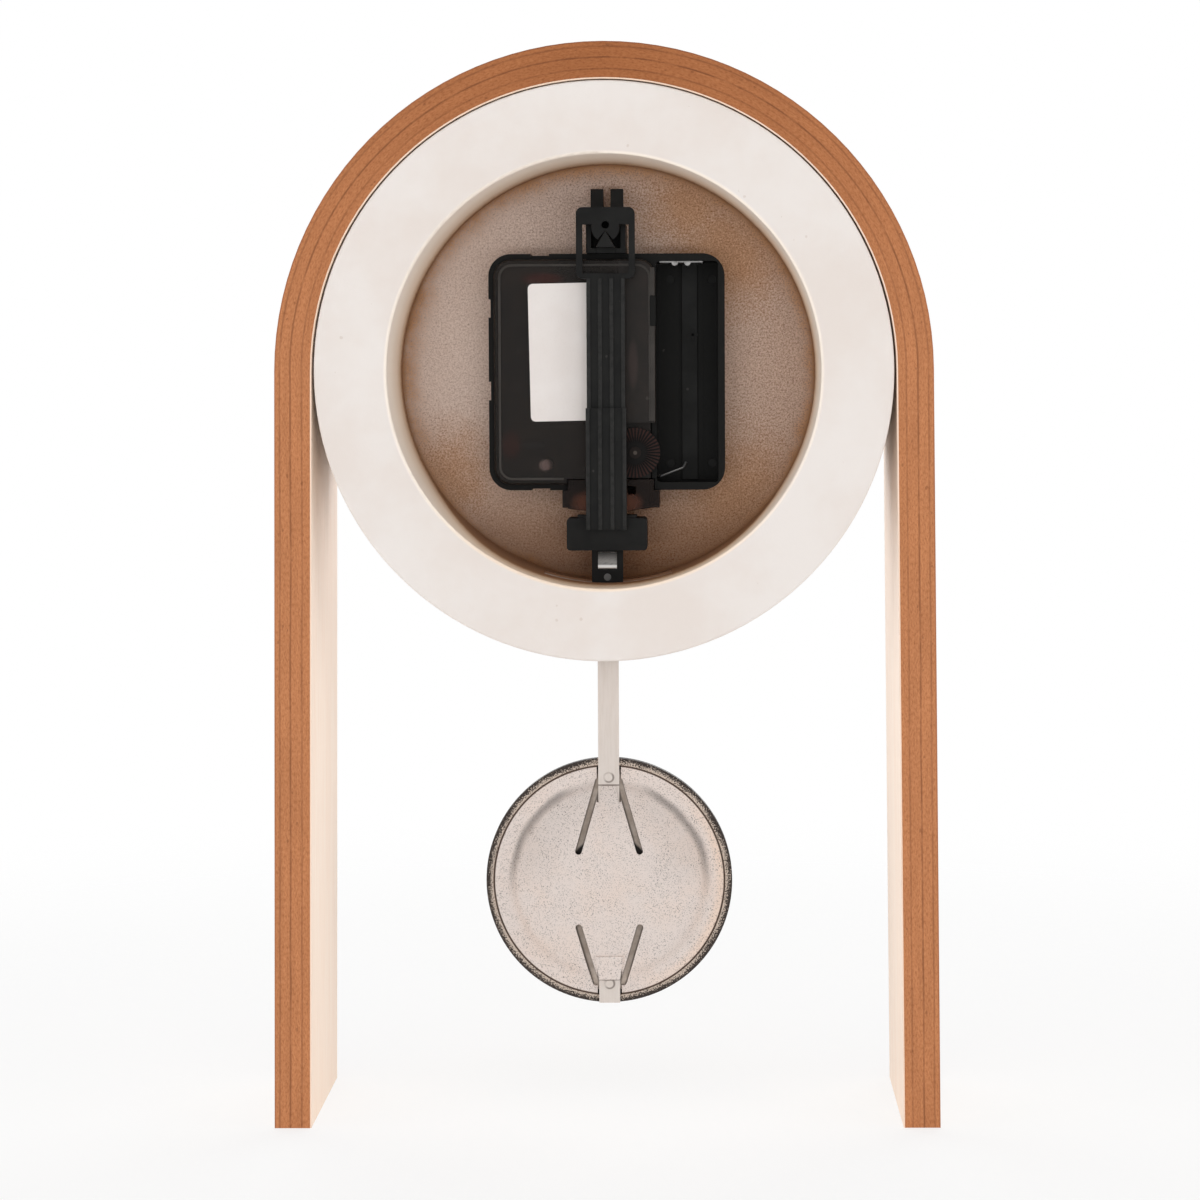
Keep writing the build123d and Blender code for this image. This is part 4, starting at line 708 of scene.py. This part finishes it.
for finish, names in wears.items():
    for name in names:
        mesh = nodes[name].data
        mesh.materials.clear()
        mesh.materials.append(finishes[finish])

# moulded edges are never quite sharp: the width of each node's rounding, in mm
softened = {"pendulum_hanger": 0.14, "pendulum_lower_bar": 0.14, "hanger_bracket": 0.12,
            "drive_coil_housing": 0.12, "movement_front_case": 0.14}
softEdge = {"weld": 0.002, "segments": 2, "angle": 35}
for name, width in softened.items():
    weld = nodes[name].modifiers.new("weld", "WELD")
    weld.merge_threshold = softEdge["weld"] * mm
    edge = nodes[name].modifiers.new("softEdge", "BEVEL")
    edge.width = width * mm
    edge.segments = softEdge["segments"]
    edge.limit_method = "ANGLE"
    edge.angle_limit = math.radians(softEdge["angle"])
print("CAD nodes dressed")


def deselectAll():
    bpy.ops.object.select_all(action="DESELECT")


def pick(piece):
    deselectAll()
    piece.select_set(True)
    bpy.context.view_layer.objects.active = piece


def mode(name):
    bpy.ops.object.mode_set(mode=name)


def selectMesh():
    bpy.ops.mesh.select_all(action="SELECT")


def applyMoves():
    bpy.ops.object.transform_apply(location=True, rotation=True, scale=True)


def settle(piece, name, finish, body):  # names a finished piece, dresses it and puts it on its body
    pick(piece)
    applyMoves()
    piece.name = name
    piece.data.materials.clear()
    piece.data.materials.append(finishes[finish])
    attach(piece, body)


def joinAll(pieces):
    deselectAll()
    for piece in pieces:
        piece.select_set(True)
    bpy.context.view_layer.objects.active = pieces[0]
    bpy.ops.object.join()
    return pieces[0]


def copies(piece, count):  # the piece itself and as many twins as make up the count
    pieces = [piece]
    while len(pieces) < count:
        twin = piece.copy()
        twin.data = piece.data.copy()
        scene.collection.objects.link(twin)
        pieces.append(twin)
    return pieces


def softBar(size, spot, rounding):  # a bar with rounded edges, in mm
    deselectAll()
    bpy.ops.mesh.primitive_cube_add(size=1.0, location=Vector(spot) * mm)
    bar = bpy.context.active_object
    bar.scale = Vector(size) * mm
    applyMoves()
    mode("EDIT")
    selectMesh()
    bpy.ops.mesh.bevel(offset=rounding * mm, segments=2, affect="EDGES")
    mode("OBJECT")
    return bar


# dial printing: sixty marks and plain numbers
dialPrint = {"face": -18.4, "ink": 0.04, "track": 46.0, "minute": (0.5, 2.2), "hour": (1.3, 3.4),
             "numberRadius": 37.2, "numberHeight": 8.4, "rounding": 0.012}


def makeDialTrack():
    marks = []
    top = dialPrint["track"] + dialPrint["minute"][1] / 2
    hub = Matrix.Translation((0, 0, clock["shaft"] * mm))
    steps = {"hour": [step for step in range(60) if step % 5 == 0],
             "minute": [step for step in range(60) if step % 5]}
    for kind in steps:
        width, length = dialPrint[kind]
        spot = (0.0, dialPrint["face"] - dialPrint["ink"] / 2, clock["shaft"] + top - length / 2)
        bar = softBar((width, dialPrint["ink"], length), spot, dialPrint["rounding"])
        bars = copies(bar, len(steps[kind]))
        for step, mark in zip(steps[kind], bars):
            mark.matrix_world = hub @ Matrix.Rotation(math.radians(6 * step), 4, "Y") @ hub.inverted()
        marks += bars
    settle(joinAll(marks), "dial_minute_track", "hand", "clock_case")


def makeDialNumbers():
    numbers = []
    for hour in range(1, 13):
        angle = math.radians(30 * hour)
        radius = dialPrint["numberRadius"]
        deselectAll()
        bpy.ops.object.text_add()
        text = bpy.context.active_object
        text.data.body = str(hour)
        text.data.size = dialPrint["numberHeight"] * mm
        text.data.align_x = "CENTER"
        text.data.align_y = "CENTER"
        text.data.extrude = dialPrint["ink"] / 2 * mm
        bpy.ops.object.convert(target="MESH")
        text = bpy.context.active_object
        text.rotation_euler = (math.radians(90), 0.0, 0.0)
        text.location = Vector((radius * math.sin(angle), dialPrint["face"] - dialPrint["ink"] / 2,
                                clock["shaft"] + radius * math.cos(angle))) * mm
        applyMoves()
        numbers.append(text)
    settle(joinAll(numbers), "dial_numbers", "hand", "clock_case")


makeDialTrack()
makeDialNumbers()
print("dial printed")


def pickFaces(piece, test):  # in edit mode: selects the faces whose centre in mm and normal pass the test
    bpy.ops.mesh.select_mode(type="FACE")
    bpy.ops.mesh.select_all(action="DESELECT")
    mode("OBJECT")
    for face in piece.data.polygons:
        face.select = test(face.center / mm, face.normal)
    mode("EDIT")


def softDisc(radius, thick, spot, rounding, sides):  # a disc facing the back, with rounded rims, in mm
    deselectAll()
    bpy.ops.mesh.primitive_cylinder_add(vertices=sides, radius=radius * mm, depth=thick * mm,
                                        location=Vector(spot) * mm, rotation=(math.radians(90), 0.0, 0.0))
    disc = bpy.context.active_object
    applyMoves()
    mode("EDIT")
    pickFaces(disc, lambda spot, normal: abs(normal.y) > 0.9)
    bpy.ops.mesh.bevel(offset=rounding * mm, segments=3, affect="EDGES")
    mode("OBJECT")
    return disc


def smooth(piece, angle=40):
    pick(piece)
    bpy.ops.object.shade_smooth_by_angle(angle=math.radians(angle))


def finishWith(piece, kind, **settings):  # adds a modifier and applies it
    pick(piece)
    modifier = piece.modifiers.new(kind.lower(), kind)
    for label, value in settings.items():
        setattr(modifier, label, value)
    bpy.ops.object.modifier_apply(modifier=modifier.name)


# smoked cover: a raised bead inside its edge, a pale strip and a dark clip beside the battery bay; bead and
# strip are paler partly as thin plastic and partly as a painted highlight
coverTrim = {"face": 3.0, "left": -11.6, "right": 26.6, "half": 26.6, "inset": 1.1, "width": 0.55,
             "proud": 0.14, "corner": 3.2, "beadRound": 0.05, "knobTop": -11.6, "housingEdge": 10.2,
             "strip": (-11.45, -10.35), "stripTop": 24.6, "stripThick": 0.24, "stripLift": 0.06,
             "stripRound": 0.06, "clip": (10.8, 18.0), "clipSize": (1.35, 0.7), "clipShift": (0.45, 0.05),
             "clipRound": 0.15}


def makeCoverBead():
    trim = coverTrim
    width = trim["right"] - trim["left"] - 2 * trim["inset"]
    height = 2 * (trim["half"] - trim["inset"])
    middle = (trim["left"] + trim["right"]) / 2
    knobTop = clock["shaft"] + trim["knobTop"]
    deselectAll()
    bpy.ops.mesh.primitive_plane_add(size=1.0, location=Vector((middle, trim["face"], clock["shaft"])) * mm,
                                     rotation=(math.radians(-90), 0.0, 0.0))
    bead = bpy.context.active_object
    bead.scale = (width * mm, height * mm, 1.0)
    applyMoves()
    mode("EDIT")
    selectMesh()
    bpy.ops.mesh.bevel(offset=trim["corner"] * mm, segments=6, affect="VERTICES")
    selectMesh()
    bpy.ops.mesh.inset(thickness=trim["width"] * mm)
    bpy.ops.mesh.delete(type="FACE")
    # open the bead where the cover is cut away for the knob and the coil housing
    cuts = (((0.0, 0.0, knobTop), (0, 0, 1)), ((trim["housingEdge"], 0.0, 0.0), (1, 0, 0)))
    for spot, normal in cuts:
        selectMesh()
        bpy.ops.mesh.bisect(plane_co=Vector(spot) * mm, plane_no=normal)
    pickFaces(bead, lambda spot, normal: spot.x < trim["housingEdge"] and spot.z < knobTop)
    bpy.ops.mesh.delete(type="FACE")
    selectMesh()
    bpy.ops.mesh.extrude_region_move(TRANSFORM_OT_translate={"value": (0.0, trim["proud"] * mm, 0.0)})
    selectMesh()
    bpy.ops.mesh.normals_make_consistent(inside=False)
    mode("OBJECT")
    finishWith(bead, "BEVEL", width=trim["beadRound"] * mm, segments=2, limit_method="ANGLE")
    smooth(bead)
    settle(bead, "cover_bead", "paleEdgeAndHighlight", "clock_case")


def makeCoverStrip():
    trim = coverTrim
    low = clock["shaft"] + trim["knobTop"]
    high = clock["shaft"] + trim["stripTop"]
    left, right = trim["strip"]
    spot = ((left + right) / 2, trim["face"] + trim["stripLift"], (low + high) / 2)
    strip = softBar((right - left, trim["stripThick"], high - low), spot, trim["stripRound"])
    settle(strip, "cover_side_strip", "paleEdgeAndHighlight", "clock_case")
    low, high = (clock["shaft"] + level for level in trim["clip"])
    aside, lift = trim["clipShift"]
    spot = (left + aside, trim["face"] + lift, (low + high) / 2)
    clip = softBar((*trim["clipSize"], high - low), spot, trim["clipRound"])
    settle(clip, "cover_clip", "black", "clock_case")


makeCoverBead()
makeCoverStrip()
print("cover trimmed")

# battery bay: four ejector marks on its floor, a raised strip along its channel and a cross
bayMarks = {"floor": -10.6, "channel": -11.3, "strip": (-21.6, -17.7), "stripLength": 52.0, "stripDrop": 0.05,
            "stripRound": 0.15, "radius": 1.15, "ring": 0.22, "proud": 0.1, "sink": 0.08, "rim": 0.02,
            "signSize": (2.6, 0.4, 0.65), "signSpot": (-20.4, -10.55, 183.6), "signRound": 0.04,
            "spots": ((-15.1, 196.8), (-25.0, 196.8), (-15.2, 152.8), (-24.9, 152.8))}


def makeBayMarks():
    middle = (0.0, bayMarks["floor"], 0.0)
    mark = softDisc(bayMarks["radius"], 2 * bayMarks["proud"], middle, bayMarks["rim"], sides=32)
    mode("EDIT")
    pickFaces(mark, lambda spot, normal: normal.y > 0.99)
    bpy.ops.mesh.inset(thickness=bayMarks["ring"] * mm)
    bpy.ops.transform.translate(value=(0.0, -bayMarks["sink"] * mm, 0.0))
    mode("OBJECT")
    marks = copies(mark, len(bayMarks["spots"]))
    for mark, (across, up) in zip(marks, bayMarks["spots"]):
        mark.location = Vector((across, 0.0, up)) * mm
    settle(joinAll(marks), "bay_ejector_marks", "worn", "clock_case")


def makeBayStrip():  # raised middle of the channel, which leaves a groove on each side
    left, right = bayMarks["strip"]
    low, high = bayMarks["channel"], bayMarks["floor"] - bayMarks["stripDrop"]
    strip = softBar((right - left, high - low, bayMarks["stripLength"]),
                    ((left + right) / 2, (low + high) / 2, clock["shaft"]), bayMarks["stripRound"])
    settle(strip, "bay_centre_strip", "worn", "clock_case")


def makeBaySign():  # plain raised cross at the positive end
    length, thick, width = bayMarks["signSize"]
    bars = [softBar(size, bayMarks["signSpot"], bayMarks["signRound"])
            for size in ((length, thick, width), (width, thick, length))]
    settle(joinAll(bars), "bay_plus_sign", "worn", "clock_case")


makeBayMarks()
makeBayStrip()
makeBaySign()
print("battery bay marked")

# rod: its bent hook through the tongue's window
rodTrim = {"halfWidth": 2.26, "sheet": 0.26, "round": 0.06, "slack": 0.01, "smoothTo": 60,
           "profile": ((1.56, -42.75), (1.70, -43.15), (1.72, -44.9), (1.86, -45.6), (2.12, -46.05),
                       (2.14, -46.4), (1.86, -46.6))}


def makeRodHook():
    points = [Vector((0.0, depth, clock["shaft"] + level)) for depth, level in rodTrim["profile"]]
    deselectAll()
    first = (points[0] + points[1]) / 2
    bpy.ops.mesh.primitive_plane_add(size=1.0, location=first * mm, rotation=(math.radians(-90), 0.0, 0.0))
    hook = bpy.context.active_object
    hook.scale = (2 * rodTrim["halfWidth"] * mm, (points[0].z - points[1].z) * mm, 1.0)
    applyMoves()
    mode("EDIT")
    bpy.ops.mesh.select_mode(type="EDGE")
    for start, end in zip(points[1:], points[2:]):
        bpy.ops.mesh.select_all(action="DESELECT")
        mode("OBJECT")
        lowest = min(corner.co.z for corner in hook.data.vertices)
        for edge in hook.data.edges:
            heights = [hook.data.vertices[place].co.z for place in edge.vertices]
            edge.select = max(heights) < lowest + rodTrim["slack"] * mm
        mode("EDIT")
        bpy.ops.mesh.extrude_region_move(TRANSFORM_OT_translate={"value": (end - start) * mm})
    selectMesh()
    bpy.ops.mesh.normals_make_consistent(inside=False)
    mode("OBJECT")
    finishWith(hook, "SOLIDIFY", thickness=rodTrim["sheet"] * mm, offset=0.0)
    finishWith(hook, "BEVEL", width=rodTrim["round"] * mm, segments=2, limit_method="ANGLE")
    smooth(hook, rodTrim["smoothTo"])
    settle(hook, "rod_hook", "hookSteel", "pendulum")


makeRodHook()
print("rod trimmed")

# hanger: a near-black disc at the blind end of the hole over the knife edge, as painted shade
pivotEye = {"radius": 1.05, "thick": 0.5, "spot": (0.0, 5.35, 209.15), "rounding": 0.1, "sides": 32}
eye = softDisc(**pivotEye)
settle(eye, "hanger_eye", "holeShade", "pendulum")

# bob: the sheet that shows through its slots
innerSheet = {"radius": 26.6, "thick": 0.4, "spot": (0.0, -2.1, clock["bobCentre"]), "rounding": 0.12,
              "sides": 96}
sheet = softDisc(**innerSheet)
smooth(sheet)
settle(sheet, "bob_inner_sheet", "slotFloor", "pendulum")
print("bob filled")

# studio: a white room, soft lamps on both sides and a pale floor, in metres apart from floorFade in mm
studio = {"room": 0.53, "floorWhite": 0.92, "floorGrey": 0.3, "floorLift": 0.72, "floorSize": 3.0,
          "floorFade": (220.0, 500.0), "aim": (0.0, 0.0, 0.13)}
# each lamp: where it stands, width, height, power, and whether shiny things show it
lamps = (((1.3, 0.55, 0.25), 0.8, 0.8, 4.9, True), ((-1.3, 0.55, 0.25), 0.8, 0.8, 4.9, True),
         ((0.0, 1.5, 0.3), 1.4, 1.0, 3.8, False), ((0.0, 0.9, 0.05), 1.0, 0.06, 1.4, False),
         ((-0.5, -1.2, 0.5), 0.9, 0.9, 5.0, True), ((0.6, -1.1, 0.4), 0.9, 0.9, 4.2, True))


def makeRoom():
    world = bpy.data.worlds.new("studioRoom")
    scene.world = world
    world.use_nodes = True
    tree = world.node_tree
    tree.nodes.clear()
    path = add(tree, "LightPath").outputs
    bounced = larger(tree, path["Is Glossy Ray"], path["Is Transmission Ray"])
    seen = larger(tree, path["Is Camera Ray"], bounced)
    strength = plus(tree, times(tree, seen, 1.0 - studio["room"]), studio["room"])
    room = add(tree, "Background", {"Color": (1, 1, 1, 1), "Strength": strength})
    add(tree, "OutputWorld", {"Surface": room.outputs[0]})


def makeFloor():
    deselectAll()
    bpy.ops.mesh.primitive_plane_add(size=studio["floorSize"], location=(0, 0, 0))
    floor = bpy.context.active_object
    floor.name = "floor"
    finish, tree, point = newFinish("paleFloor")
    path = add(tree, "LightPath").outputs
    white = add(tree, "BsdfDiffuse", {"Color": (studio["floorWhite"],) * 3 + (1,)}).outputs[0]
    grey = add(tree, "BsdfDiffuse", {"Color": (studio["floorGrey"],) * 3 + (1,)}).outputs[0]
    lift = add(tree, "Emission", {"Color": (1, 1, 1, 1), "Strength": studio["floorLift"]}).outputs[0]
    seen = add(tree, "AddShader", {0: grey, 1: lift}).outputs[0]
    share = larger(tree, path["Is Camera Ray"], path["Is Glossy Ray"])
    mixed = add(tree, "MixShader", {0: share, 1: white, 2: seen}).outputs[0]
    away = add(tree, "VectorMath", {0: point}, operation="LENGTH").outputs["Value"]
    below = add(tree, "NewGeometry").outputs["Backfacing"]
    gone = times(tree, larger(tree, ease(tree, away, *studio["floorFade"]), below), share)
    clear = add(tree, "BsdfTransparent").outputs[0]
    mixed = add(tree, "MixShader", {0: gone, 1: mixed, 2: clear}).outputs[0]
    add(tree, "OutputMaterial", {"Surface": mixed})
    floor.data.materials.append(finish)


def makeLamps():
    for number, (spot, width, height, power, shows) in enumerate(lamps):
        lamp = bpy.data.lights.new("softBox%d" % number, "AREA")
        lamp.shape = "RECTANGLE"
        lamp.size = width
        lamp.size_y = height
        lamp.energy = power
        box = bpy.data.objects.new("softBox%d" % number, lamp)
        box.location = spot
        aim = Vector(studio["aim"]) - Vector(spot)
        box.rotation_euler = aim.to_track_quat("-Z", "Y").to_euler()
        box.visible_glossy = shows
        scene.collection.objects.link(box)


makeRoom()
makeFloor()
makeLamps()
print("studio lit")
